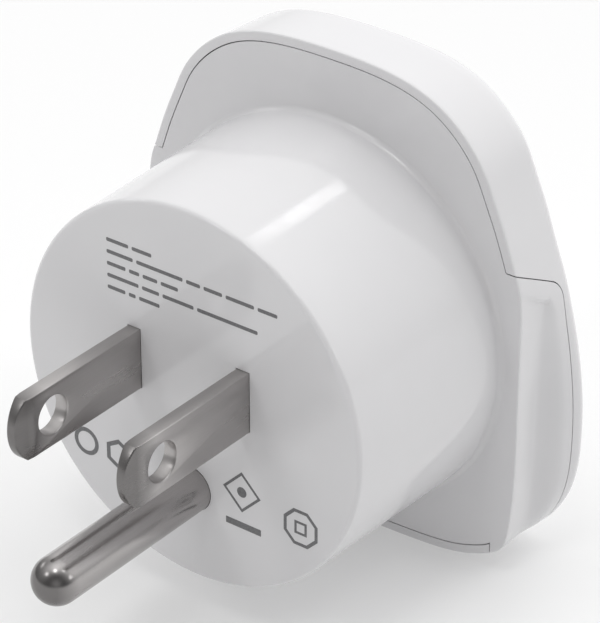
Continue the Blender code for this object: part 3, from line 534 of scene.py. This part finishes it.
def grip_zone(side, gap=0.0):
    """The block of space that a side grip takes from the flange, made larger by a gap."""
    front = BARREL_LENGTH + GRIP_DEPTH + gap
    back = BARREL_LENGTH - OVERSHOOT
    top_at_back = GRIP_TOP_Z + gap - GRIP_TOP_SLOPE * OVERSHOOT
    top_at_front = GRIP_TOP_Z + gap + GRIP_TOP_SLOPE * (GRIP_DEPTH + gap)
    bottom = -FAR
    corner = Vector((-front, top_at_front))
    slope = Vector((1.0, -GRIP_TOP_SLOPE)).normalized()
    down = Vector((0.0, -1.0))
    half = slope.angle(down) / 2
    start = corner + slope * GRIP_CORNER_R / math.tan(half)
    centre = corner + (slope + down).normalized() * GRIP_CORNER_R / math.sin(half)
    first = math.degrees(math.atan2(start.y - centre.y, start.x - centre.x))
    loop = arc(centre, GRIP_CORNER_R, first, 180.0, 12)
    loop += [(-front, bottom), (-back, bottom), (-back, top_at_back)]
    inner = GRIP_INNER_X - gap
    low, high = (inner, FAR) if side > 0 else (-FAR, -inner)
    return plate([loop], low, high, ACROSS_X)


def barrel():
    """The barrel as a solid, with its rear edge rounded and a hollow fillet where it meets the flange."""
    fillet_r = BARREL_FRONT_R + FLANGE_FILLET
    fillet_y = -BARREL_LENGTH + FLANGE_FILLET - FILLET_SUNK
    rear_centre = (BARREL_REAR_R - REAR_EDGE_FILLET, -REAR_EDGE_FILLET)
    wall = (Vector((BARREL_REAR_R, rear_centre[1])), Vector((BARREL_FRONT_R, fillet_y)))
    near_end = (wall[1] - wall[0]).normalized() * EDGE_SUPPORT
    profile = [(0.0, 0.0), (rear_centre[0] - EDGE_SUPPORT, 0.0)]
    profile += arc(rear_centre, REAR_EDGE_FILLET, 90.0, 0.0, 6)
    profile += [tuple(wall[0] + near_end), tuple(wall[1] - near_end)]
    profile += arc((fillet_r, fillet_y), FLANGE_FILLET, 180.0, 270.0, 9)
    profile += [(fillet_r, -BARREL_LENGTH - BARREL_ROOT), (0.0, -BARREL_LENGTH - BARREL_ROOT)]
    return turned_y(profile)


def barrel_bore():
    """The inside of the barrel, open towards the flange."""
    rear_r = BARREL_REAR_R - BARREL_WALL
    front_r = BARREL_FRONT_R - BARREL_WALL
    end = BACK_PLATE_INNER_Y - OVERSHOOT
    return turned_y([(0.0, -REAR_WALL), (rear_r, -REAR_WALL), (front_r, end), (0.0, end)])


def make_rear_shell():
    """Barrel, back plate and side grips, with the bosses inside and the holes for the plug's pins."""
    seat = flange_ring(0.0, LIP + SEAM_GAP / 2)
    kept = loft_y([(-BARREL_LENGTH + OVERSHOOT / 2, seat), (BACK_PLATE_INNER_Y, seat)])
    join(kept, grip_zone(1), grip_zone(-1))
    shell = join(common(flange_block(), kept), barrel())
    inner = scaled_outline(HOLLOW_SCALE)
    cut(shell, loft_y([(BACK_PLATE_INNER_Y, inner), (FRONT_Y, inner)]), barrel_bore())
    boss_end = BACK_PLATE_INNER_Y + SEAM_GAP
    for x, z in BLOCK_SCREWS:
        join(shell, rod_y(x, z, BOSS_R, boss_end, BOSS_ROOT_Y))
        cut(shell, rod_y(x, z, SCREW_SHANK_R + FIT_GAP, boss_end - OVERSHOOT, BLOCK_SCREW_END_Y))
    for x, z in RETAINER_SCREWS:
        join(shell, rod_y(x, z, BOSS_R, RETAINER_REAR_Y + SEAM_GAP, BOSS_ROOT_Y))
        end = RETAINER_SCREW_END_Y
        cut(shell, rod_y(x, z, SCREW_SHANK_R + FIT_GAP, RETAINER_REAR_Y - OVERSHOOT, end))
    half_x = BLADE_THICK / 2 + PIN_GAP
    half_z = BLADE_WIDTH / 2 + PIN_GAP
    for x in (BLADE_X, -BLADE_X):
        cut(shell, box((x - half_x, -OVERSHOOT, BLADE_Z - half_z), (x + half_x, OVERSHOOT, BLADE_Z + half_z)))
    cut(shell, rod_y(0.0, EARTH_PIN_Z, EARTH_PIN_R + PIN_GAP, -OVERSHOOT, OVERSHOOT, 64))
    smooth(shell)
    shell.name = "rear_shell_moulding"
    return shell


def socket_hole(centre, size):
    """A cutter for one hole of the socket, with a chamfered mouth."""
    mouth = (size[0] + 2 * HOLE_CHAMFER, size[1] + 2 * HOLE_CHAMFER)
    wide = rectangle(centre, mouth, HOLE_CORNER_R + HOLE_CHAMFER)
    narrow = rectangle(centre, size, HOLE_CORNER_R)
    return loft_y(
        [
            (FRONT_INNER_Y + OVERSHOOT, narrow),
            (FRONT_Y + HOLE_CHAMFER, narrow),
            (FRONT_Y, wide),
            (FRONT_Y - OVERSHOOT, wide),
        ]
    )


def make_front_shell():
    """The rim and the socket face, whose lip wraps round the rear shell's back plate."""
    shell = flange_block()
    cut(shell, grip_zone(1, SEAM_GAP), grip_zone(-1, SEAM_GAP))
    seat = flange_ring(0.0, LIP - SEAM_GAP / 2)
    seat_end = BACK_PLATE_INNER_Y - SEAM_GAP
    inner = scaled_outline(HOLLOW_SCALE)
    cut(
        shell,
        loft_y([(-BARREL_LENGTH + OVERSHOOT, seat), (seat_end, seat)]),
        loft_y([(seat_end + SEAT_OVERLAP, inner), (FRONT_INNER_Y, inner)]),
        socket_hole((SOCKET_X, SOCKET_LIVE_Z), LIVE_HOLE),
        socket_hole((-SOCKET_X, SOCKET_LIVE_Z), LIVE_HOLE),
        socket_hole((0.0, SOCKET_EARTH_Z), EARTH_HOLE),
    )
    smooth(shell)
    shell.name = "front_shell_moulding"
    return shell


# ---------------------------------------------------------------- pins


def make_blade(name, x):
    """A flat blade: its tip is round and coined thinner, and its edges and its hole are broken by small
    chamfers."""
    half = BLADE_WIDTH / 2
    sagitta = BLADE_LENGTH - BLADE_STRAIGHT
    tip_r = (half**2 + sagitta**2) / (2 * sagitta)
    spread = math.degrees(math.asin(half / tip_r))
    tip = arc((BLADE_LENGTH - tip_r, BLADE_Z), tip_r, -spread, spread, 24)
    shoulder_low, shoulder_high = EARTH_PIN_FLANGE_Y
    side = [
        (shoulder_high, half),
        (shoulder_high, BLADE_SHOULDER_WIDTH / 2),
        (shoulder_low, BLADE_SHOULDER_WIDTH / 2),
        (shoulder_low, BLADE_TAIL_WIDTH / 2),
        (TAIL_END_Y, BLADE_TAIL_WIDTH / 2),
    ]
    upper = [(y, BLADE_Z + z) for y, z in side]
    lower = [(y, BLADE_Z - z) for y, z in reversed(side)]
    hole = circle((BLADE_HOLE_Y, BLADE_Z), BLADE_HOLE_R, 64)
    blade = plate([tip + upper + lower, hole], x - BLADE_THICK, x + BLADE_THICK, ACROSS_X)
    thick = BLADE_THICK / 2
    end = BLADE_LENGTH + BLADE_PAST_TIP
    slope = (thick - BLADE_TIP_THICK / 2) / (BLADE_LENGTH - BLADE_TAPER_Y)
    thin = thick - slope * (end - BLADE_TAPER_Y)
    tail = TAIL_END_Y - OVERSHOOT
    sides = [
        (x - thick, tail),
        (x + thick, tail),
        (x + thick, BLADE_TAPER_Y),
        (x + thin, end),
        (x - thin, end),
        (x - thick, BLADE_TAPER_Y),
    ]
    reach = BLADE_SHOULDER_WIDTH
    common(blade, plate([sides], BLADE_Z - reach, BLADE_Z + reach, ACROSS_Z))
    edge = blade.modifiers.new("Edge", "BEVEL")
    edge.width = BLADE_EDGE
    edge.segments = 3
    edge.limit_method = "ANGLE"
    edge.angle_limit = math.radians(BLADE_EDGE_ANGLE)
    edge.use_clamp_overlap = False
    settle(blade)
    smooth(blade)
    blade.name = name
    return blade


def make_earth_pin():
    """A turned pin with a domed tip, a flange behind the rear wall, and a tail riveted over its strap."""
    flange_low, flange_high = EARTH_PIN_FLANGE_Y
    profile = arc((0.0, EARTH_PIN_LENGTH - EARTH_PIN_R), EARTH_PIN_R, 90.0, 0.0, 16)
    profile += [
        (EARTH_PIN_R, EARTH_PIN_LENGTH - EARTH_PIN_R - EDGE_SUPPORT),
        (EARTH_PIN_R, flange_high),
        (EARTH_PIN_FLANGE_R, flange_high),
        (EARTH_PIN_FLANGE_R, flange_low),
        (EARTH_PIN_TAIL_R, flange_low),
        (EARTH_PIN_TAIL_R, EARTH_PIN_HEAD_Y),
        (EARTH_PIN_HEAD_R, EARTH_PIN_HEAD_Y),
        (EARTH_PIN_HEAD_R, TAIL_END_Y),
        (0.0, TAIL_END_Y),
    ]
    pin = turned_y(profile, z=EARTH_PIN_Z, steps=72)
    smooth(pin)
    pin.name = "earth_pin_turned"
    return pin


# ---------------------------------------------------------------- printed marks

# The ink's back and front.
INK_Y = (-0.01 * MM, 0.012 * MM)
ROW_LEFT_X = 9.35 * MM
ROW_TOP_Z = 13.5 * MM
ROW_PITCH = 1.24 * MM
ROW_HEIGHT = 0.38 * MM
WORD_GAP = 0.42 * MM
# Lengths of the bars in each row, in millimetres.
ROWS = (
    (2.6, 2.3),
    (3.1, 5.4, 1.6, 2.1, 3.2, 2.2),
    (2.2, 1.2, 1.7, 2.0),
    (3.7, 2.0, 3.6, 6.9),
    (2.1, 0.8, 2.4),
)
# Each mark's centre and half its width.
RING, RING_R = (12.7 * MM, -9.6 * MM), 1.5 * MM
HEXAGON, HEXAGON_R = (8.7 * MM, -9.6 * MM), 1.7 * MM
DIAMOND, DIAMOND_R = (-6.1 * MM, -7.9 * MM), 2.2 * MM
OCTAGON, OCTAGON_R = (-12.9 * MM, -9.1 * MM), 2.1 * MM
DOT_R = 0.55 * MM
SQUARE_R = 1.0 * MM
BAR, BAR_SIZE, BAR_CORNER_R = (-6.25 * MM, -11.55 * MM), (4.1 * MM, 0.7 * MM), 0.05 * MM
MARK_LINE = 0.32 * MM
HEAVY_LINE = 1.4 * MARK_LINE
# A line's width at a corner, as a multiple of its width along a side.
CORNER_LINE = 1.15


def make_print_row(index, lengths):
    """A row of plain bars, from the left as seen from behind."""
    z = ROW_TOP_Z - ROW_PITCH * index
    x = ROW_LEFT_X
    bars = []
    for length in lengths:
        size = (length * MM, ROW_HEIGHT)
        bars.append(rectangle((x - size[0] / 2, z), size, ROW_HEIGHT / 3))
        x -= size[0] + WORD_GAP
    return ink(f"print_row_{index + 1}", bars)


def ink(name, loops):
    """A thin layer of ink on the rear face, with its back just inside the plastic."""
    mark = plate(loops, *INK_Y)
    mark.name = name
    return mark


def outline_of(points, centre, line):
    """A polygon and the smaller one inside it that leaves a line between them."""
    middle = Vector(centre)
    reach = max((Vector(p) - middle).length for p in points)
    scale = 1.0 - CORNER_LINE * line / reach
    return [points, [tuple(middle + (Vector(p) - middle) * scale) for p in points]]


def make_print_marks():
    """Plain geometric marks below the pins: a ring, a hexagon, a diamond with a dot over a bar, and an
    octagon with a square."""
    return [
        ink("print_mark_ring", [circle(RING, RING_R), circle(RING, RING_R - HEAVY_LINE)]),
        ink("print_mark_hexagon", outline_of(regular(HEXAGON, HEXAGON_R, 6, 30.0), HEXAGON, HEAVY_LINE)),
        ink("print_mark_diamond", outline_of(regular(DIAMOND, DIAMOND_R, 4), DIAMOND, MARK_LINE)),
        ink("print_mark_dot", [circle(DIAMOND, DOT_R, 24)]),
        ink("print_mark_bar", [rectangle(BAR, BAR_SIZE, BAR_CORNER_R)]),
        ink("print_mark_octagon", outline_of(regular(OCTAGON, OCTAGON_R, 8, 22.5), OCTAGON, MARK_LINE)),
        ink("print_mark_square", outline_of(regular(OCTAGON, SQUARE_R, 4, 45.0), OCTAGON, MARK_LINE)),
    ]


# ---------------------------------------------------------------- spring

SPRING_R = 0.9 * MM
SPRING_WIRE_R = 0.14 * MM
SPRING_TURNS = 5
SPRING_POINTS_PER_TURN = 32


def make_spring():
    """The coil that pushes the shutter shut, in the place of the CAD spring."""
    low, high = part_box("shutter_spring")
    centre = (low + high) / 2
    curve = bpy.data.curves.new("spring", "CURVE")
    curve.dimensions = "3D"
    curve.fill_mode = "FULL"
    curve.bevel_depth = SPRING_WIRE_R
    curve.bevel_resolution = 3
    curve.use_fill_caps = True
    bottom = low.z + SPRING_WIRE_R
    height = high.z - low.z - 2 * SPRING_WIRE_R
    count = SPRING_TURNS * SPRING_POINTS_PER_TURN
    spline = curve.splines.new("POLY")
    spline.points.add(count)
    for i, point in enumerate(spline.points):
        turn = 2 * math.pi * i / SPRING_POINTS_PER_TURN
        x = centre.x + SPRING_R * math.cos(turn)
        y = centre.y + SPRING_R * math.sin(turn)
        point.co = (x, y, bottom + height * i / count, 1.0)
    spring = from_curve("shutter_spring_coil", curve)
    smooth(spring, sharp_degrees=50)
    return spring


# ---------------------------------------------------------------- materials


class Nodes:
    """A material's node tree, with short calls for the nodes that the looks use."""

    def __init__(self, name):
        self.material = bpy.data.materials.new(name)
        self.material.use_nodes = True
        self.tree = self.material.node_tree
        self.shader = self.tree.nodes["Principled BSDF"]
        self.place = self.tree.nodes.new("ShaderNodeTexCoord").outputs["Object"]

    def set(self, **values):
        for name, value in values.items():
            self.shader.inputs[name.replace("_", " ")].default_value = value

    def link(self, output, socket):
        self.tree.links.new(output, self.shader.inputs[socket])

    def stretched(self, scale):
        mapping = self.tree.nodes.new("ShaderNodeMapping")
        mapping.inputs["Scale"].default_value = scale
        self.tree.links.new(self.place, mapping.inputs["Vector"])
        return mapping.outputs["Vector"]

    def noise(self, scale, detail=4.0, roughness=0.5, stretch=(1.0, 1.0, 1.0)):
        noise = self.tree.nodes.new("ShaderNodeTexNoise")
        noise.inputs["Scale"].default_value = scale
        noise.inputs["Detail"].default_value = detail
        noise.inputs["Roughness"].default_value = roughness
        self.tree.links.new(self.stretched(stretch), noise.inputs["Vector"])
        return noise.outputs["Fac"]

    def spread(self, value, low, high, start=0.3, end=0.7):
        """The value's range start to end, spread over low to high."""
        spread = self.tree.nodes.new("ShaderNodeMapRange")
        for name, number in (("From Min", start), ("From Max", end), ("To Min", low), ("To Max", high)):
            spread.inputs[name].default_value = number
        self.tree.links.new(value, spread.inputs["Value"])
        return spread.outputs["Result"]

    def colours(self, value, first, second):
        mix = self.tree.nodes.new("ShaderNodeMix")
        mix.data_type = "RGBA"
        mix.inputs["A"].default_value = (*first, 1.0)
        mix.inputs["B"].default_value = (*second, 1.0)
        self.tree.links.new(value, mix.inputs["Factor"])
        return mix.outputs["Result"]

    def math(self, operation, first, second):
        node = self.tree.nodes.new("ShaderNodeMath")
        node.operation = operation
        for value, socket in zip((first, second), node.inputs):
            if isinstance(value, (int, float)):
                socket.default_value = value
            else:
                self.tree.links.new(value, socket)
        return node.outputs["Value"]

    def darker_towards(self, colour, start, end, least):
        """The colour, falling to the share least of itself between two places along Y."""
        split = self.tree.nodes.new("ShaderNodeSeparateXYZ")
        self.tree.links.new(self.place, split.inputs["Vector"])
        scale = self.tree.nodes.new("ShaderNodeVectorMath")
        scale.operation = "SCALE"
        self.tree.links.new(colour, scale.inputs[0])
        self.tree.links.new(self.spread(split.outputs["Y"], 1.0, least, start, end), scale.inputs["Scale"])
        return scale.outputs["Vector"]

    def bump(self, height, distance, strength=1.0, before=None):
        bump = self.tree.nodes.new("ShaderNodeBump")
        bump.inputs["Distance"].default_value = distance
        bump.inputs["Strength"].default_value = strength
        self.tree.links.new(height, bump.inputs["Height"])
        if before is not None:
            self.tree.links.new(before, bump.inputs["Normal"])
        return bump.outputs["Normal"]


# How fine each pattern is, in repeats per metre, and how deep its relief is.
PLASTIC_CLOUDS = 90.0
PLASTIC_WEAR = 700.0
MOULD_WAVES, MOULD_DEPTH = 160.0, 0.006 * MM
PLASTIC_GRAIN = 9000.0
METAL_LINES, LINE_DEPTH = 5200.0, 0.001 * MM
METAL_BANDS = 420.0
METAL_DIMPLES, DIMPLE_DEPTH = 1500.0, 0.0008 * MM
INK_MOTTLE, INK_DEPTH = 5000.0, 0.002 * MM
INK_DARK = (0.12, 0.12, 0.125)
INK_LIGHT = (0.19, 0.19, 0.195)


def moulded_plastic(name, light, dark, gloss, grain):
    """Moulded plastic: faint clouds of tone, slight wear in its gloss, a fine grain, and a long soft
    unevenness of the mould. The grain is its depth."""
    nodes = Nodes(name)
    clouds = nodes.spread(nodes.noise(PLASTIC_CLOUDS, 3.0), 0.0, 1.0)
    nodes.link(nodes.colours(clouds, dark, light), "Base Color")
    wear = nodes.noise(PLASTIC_WEAR, 6.0, 0.65)
    nodes.link(nodes.spread(wear, gloss - 0.03, gloss + 0.05), "Roughness")
    mould = nodes.bump(nodes.noise(MOULD_WAVES, 2.0), MOULD_DEPTH)
    fine = nodes.bump(nodes.noise(PLASTIC_GRAIN, 2.0), grain, before=mould)
    nodes.link(fine, "Normal")
    return nodes.material


NICKEL = (0.44, 0.423, 0.418)
NICKEL_DARK = (0.405, 0.39, 0.385)
# Painted shade: towards the tips of the pins, the base colour falls to this share of itself between the
# places along Y below. It stands in for the darker reflections there.
TIP_PAINTED_SHADE = 0.45
BLADE_TIP_SHADE_Y = (13.0 * MM, 15.6 * MM)
PIN_TIP_SHADE_Y = (18.4 * MM, 20.6 * MM)


def plated_metal(name, light, dark, gloss, along, tip=None):
    """Plated or bare metal with fine lines and soft bands along one axis, and painted shade that darkens its
    colour towards the tip, between the two places along Y in tip."""
    nodes = Nodes(name)
    long, short = (tuple(share if axis == along else 1.0 for axis in "XYZ") for share in (0.03, 0.2))
    lines = nodes.noise(METAL_LINES, 3.0, 0.6, long)
    bands = nodes.noise(METAL_BANDS, 4.0, 0.5, short)
    tone = nodes.math("ADD", nodes.math("MULTIPLY", lines, 0.3), nodes.math("MULTIPLY", bands, 0.7))
    colour = nodes.colours(nodes.spread(tone, 0.0, 1.0, 0.35, 0.65), dark, light)
    # Painted shade: the colour darkens towards the tip.
    if tip is not None:
        colour = nodes.darker_towards(colour, *tip, TIP_PAINTED_SHADE)
    nodes.link(colour, "Base Color")
    nodes.link(nodes.spread(tone, gloss + 0.07, gloss - 0.05, 0.35, 0.65), "Roughness")
    drawn = nodes.bump(lines, LINE_DEPTH, 0.5)
    dimples = nodes.noise(METAL_DIMPLES, 3.0)
    nodes.link(nodes.bump(dimples, DIMPLE_DEPTH, 0.5, before=drawn), "Normal")
    nodes.set(Metallic=1.0)
    return nodes.material


def print_ink(name):
    """Printed ink, with a fine mottle in its tone, gloss and height."""
    nodes = Nodes(name)
    mottle = nodes.spread(nodes.noise(INK_MOTTLE, 3.0), 0.0, 1.0)
    nodes.link(nodes.colours(mottle, INK_DARK, INK_LIGHT), "Base Color")
    nodes.link(nodes.spread(mottle, 0.45, 0.6, 0.0, 1.0), "Roughness")
    nodes.link(nodes.bump(mottle, INK_DEPTH), "Normal")
    return nodes.material


def make_looks():
    """Every material, under the name of the slot or the piece that it belongs to."""
    return {
        "shell_plastic": moulded_plastic(
            "gloss_white_plastic", (0.725, 0.72, 0.73), (0.705, 0.70, 0.712), 0.1, 0.0004 * MM
        ),
        "inner_plastic": moulded_plastic(
            "matt_white_plastic", (0.80, 0.79, 0.77), (0.75, 0.745, 0.73), 0.5, 0.004 * MM
        ),
        "shutter_plastic": moulded_plastic(
            "shutter_plastic", (0.83, 0.83, 0.83), (0.79, 0.79, 0.80), 0.38, 0.002 * MM
        ),
        # Both nickels get painted shade towards their tips.
        "pin_nickel": plated_metal("blade_nickel", NICKEL, NICKEL_DARK, 0.3, "Y", tip=BLADE_TIP_SHADE_Y),
        "earth_pin_nickel": plated_metal("pin_nickel", NICKEL, NICKEL_DARK, 0.22, "Y", tip=PIN_TIP_SHADE_Y),
        "contact_brass": plated_metal("rolled_brass", (0.86, 0.66, 0.32), (0.74, 0.52, 0.22), 0.3, "Y"),
        "fastener_steel": plated_metal("zinc_steel", (0.68, 0.69, 0.71), (0.56, 0.57, 0.58), 0.3, "Z"),
        "spring_steel": plated_metal("spring_steel", (0.55, 0.55, 0.56), (0.42, 0.42, 0.43), 0.25, "X"),
        "print_ink": print_ink("print_ink"),
    }


# ---------------------------------------------------------------- stage

CAMERA_AZIMUTH = 217.48
CAMERA_ELEVATION = 30.83
CAMERA_DISTANCE = 308.97 * MM
AIM_RIGHT = 10.89 * MM
AIM_UP = 5.54 * MM
LENS = 195.3
SHIFT = (-0.0125, 0.0413)
CLIP = (10.0 * MM, 10.0)


def make_camera():
    """The camera looks parallel to a line through the origin, moved sideways and up from it."""
    azimuth = math.radians(CAMERA_AZIMUTH)
    elevation = math.radians(CAMERA_ELEVATION)
    right = Vector((math.cos(azimuth), math.sin(azimuth), 0.0))
    level = Vector((math.sin(azimuth), -math.cos(azimuth), 0.0))
    back = level * math.cos(elevation) + Vector((0.0, 0.0, math.sin(elevation)))
    up = back.cross(right)
    data = bpy.data.cameras.new("camera")
    data.lens = LENS
    data.shift_x, data.shift_y = SHIFT
    data.clip_start, data.clip_end = CLIP
    camera = link("camera", data)
    camera.rotation_mode = "QUATERNION"
    camera.rotation_quaternion = Matrix((right, up, back)).transposed().to_quaternion()
    camera.location = back * CAMERA_DISTANCE + right * AIM_RIGHT + up * AIM_UP
    bpy.context.scene.camera = camera


def area_light(name, place, size, radiance):
    """A rectangular soft light that faces the object, with its brightness given as radiance."""
    data = bpy.data.lights.new(name, "AREA")
    data.shape = "RECTANGLE"
    data.size, data.size_y = size
    data.energy = radiance * math.pi * size[0] * size[1]
    light = link(name, data)
    light.location = place
    light.rotation_mode = "QUATERNION"
    light.rotation_quaternion = (-place).to_track_quat("-Z", "Y")


# Studio light, as lobes of the world: azimuth and elevation in degrees, narrowness, and radiance.
LIGHT_LOBES = (
    (0.0, 90.0, 12.0, 1.5),
    (45.0, 25.0, 3.0, 0.52),
    (127.0, 15.0, 12.0, 0.65),
    (225.0, 38.0, 3.0, 0.77),
    (270.0, 25.0, 3.0, 1.12),
    (315.0, 25.0, 3.0, 0.58),
    (45.0, 60.0, 10.0, 0.83),
)
# Small lamps, which give the glossy surfaces their highlights: name, azimuth, elevation, size and radiance.
LAMP_DISTANCE = 617.0 * MM
LAMPS = (
    ("barrel_lamp", -85.6, 49.1, (66.0 * MM, 22.0 * MM), 5.0),
    ("top_lamp", 110.0, 72.0, (130.0 * MM, 130.0 * MM), 6.0),
    ("left_lamp", 65.0, 42.0, (130.0 * MM, 130.0 * MM), 4.5),
    ("right_lamp", -160.0, 59.0, (120.0 * MM, 120.0 * MM), 4.0),
    ("low_lamp", -160.0, 21.0, (150.0 * MM, 130.0 * MM), 2.0),
    ("far_lamp", 3.0, 29.0, (200.0 * MM, 120.0 * MM), 1.5),
)
FLOOR_HALF = 2.0
FLOOR_CLOUDS = 6.0
FLOOR_WHITE = (0.6, 0.6, 0.6)
FLOOR_WHITE_WORN = (0.61, 0.61, 0.61)
FLOOR_GLOW = 0.275


def towards(azimuth, elevation):
    """The direction at an azimuth and an elevation, both in degrees."""
    return Euler((0.0, -math.radians(elevation), math.radians(azimuth))).to_matrix() @ Vector((1.0, 0.0, 0.0))


def light_from(tree, lobe, where):
    """One soft lobe of the studio's light: brightest from its own direction and fading smoothly around it."""
    azimuth, elevation, narrowness, radiance = lobe
    along = tree.nodes.new("ShaderNodeVectorMath")
    along.operation = "DOT_PRODUCT"
    tree.links.new(where, along.inputs[0])
    along.inputs[1].default_value = towards(azimuth, elevation)
    value = along.outputs["Value"]
    for operation, number in (("MAXIMUM", 0.0), ("POWER", narrowness), ("MULTIPLY", radiance)):
        step = tree.nodes.new("ShaderNodeMath")
        step.operation = operation
        step.inputs[1].default_value = number
        tree.links.new(value, step.inputs[0])
        value = step.outputs[0]
    return value


def make_world():
    """A white studio around the object, in smooth lobes with no edges that a glossy surface could mirror."""
    world = bpy.data.worlds.new("studio")
    world.use_nodes = True
    tree = world.node_tree
    background = tree.nodes["Background"]
    background.inputs["Color"].default_value = (1.0, 1.0, 1.0, 1.0)
    where = tree.nodes.new("ShaderNodeTexCoord").outputs["Generated"]
    total = None
    for lobe in LIGHT_LOBES:
        value = light_from(tree, lobe, where)
        if total is None:
            total = value
            continue
        both = tree.nodes.new("ShaderNodeMath")
        both.operation = "ADD"
        tree.links.new(total, both.inputs[0])
        tree.links.new(value, both.inputs[1])
        total = both.outputs[0]
    tree.links.new(total, background.inputs["Strength"])
    bpy.context.scene.world = world


def make_stage():
    """A white floor under the object, the studio's light, and the small lamps for the highlights."""
    low, _ = CAD_BOX
    floor = mesh_object(
        "floor",
        lambda shape: bmesh.ops.create_grid(shape, size=FLOOR_HALF, x_segments=8, y_segments=8),
    )
    floor.location.z = low.z
    nodes = Nodes("floor_white")
    tone = nodes.spread(nodes.noise(FLOOR_CLOUDS, 2.0), 0.0, 1.0)
    nodes.link(nodes.colours(tone, FLOOR_WHITE, FLOOR_WHITE_WORN), "Base Color")
    nodes.set(Roughness=0.9, Emission_Color=(1.0, 1.0, 1.0, 1.0), Emission_Strength=FLOOR_GLOW)
    floor.data.materials.append(nodes.material)
    make_world()
    bpy.context.scene.view_settings.view_transform = "Standard"
    for name, azimuth, elevation, size, radiance in LAMPS:
        area_light(name, LAMP_DISTANCE * towards(azimuth, elevation), size, radiance)


# ---------------------------------------------------------------- everything

LOOKS = make_looks()


def dress(piece, slot, body, *nodes, look=None):
    """Gives a new piece the look of its slot, or the look given, puts it in its body, and hides the CAD nodes
    that it replaces.
    """
    piece.data.materials.clear()
    piece.data.materials.append(LOOKS[look or slot])
    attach(piece, body)
    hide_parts(*nodes)
    return piece


def dress_cad_nodes():
    """Gives every CAD node the look of its own slot."""
    for subpart in frame["record"]["subparts"]:
        node = frame["nodes"][subpart["node"]]
        node.data.materials.clear()
        node.data.materials.append(LOOKS[subpart["material_slot"]])


make_camera()
make_stage()
dress_cad_nodes()
dress(make_rear_shell(), "shell_plastic", "housing", "rear_shell")
dress(make_front_shell(), "shell_plastic", "housing", "front_shell")
dress(make_blade("line_blade_coined", BLADE_X), "pin_nickel", "housing", "line_blade")
dress(make_blade("neutral_blade_coined", -BLADE_X), "pin_nickel", "housing", "neutral_blade")
dress(make_earth_pin(), "pin_nickel", "housing", "earth_pin", look="earth_pin_nickel")
for row, lengths in enumerate(ROWS):
    dress(make_print_row(row, lengths), "print_ink", "housing")
for mark in make_print_marks():
    dress(mark, "print_ink", "housing")
spring = dress(make_spring(), "spring_steel", "housing", "shutter_spring")
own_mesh(spring)
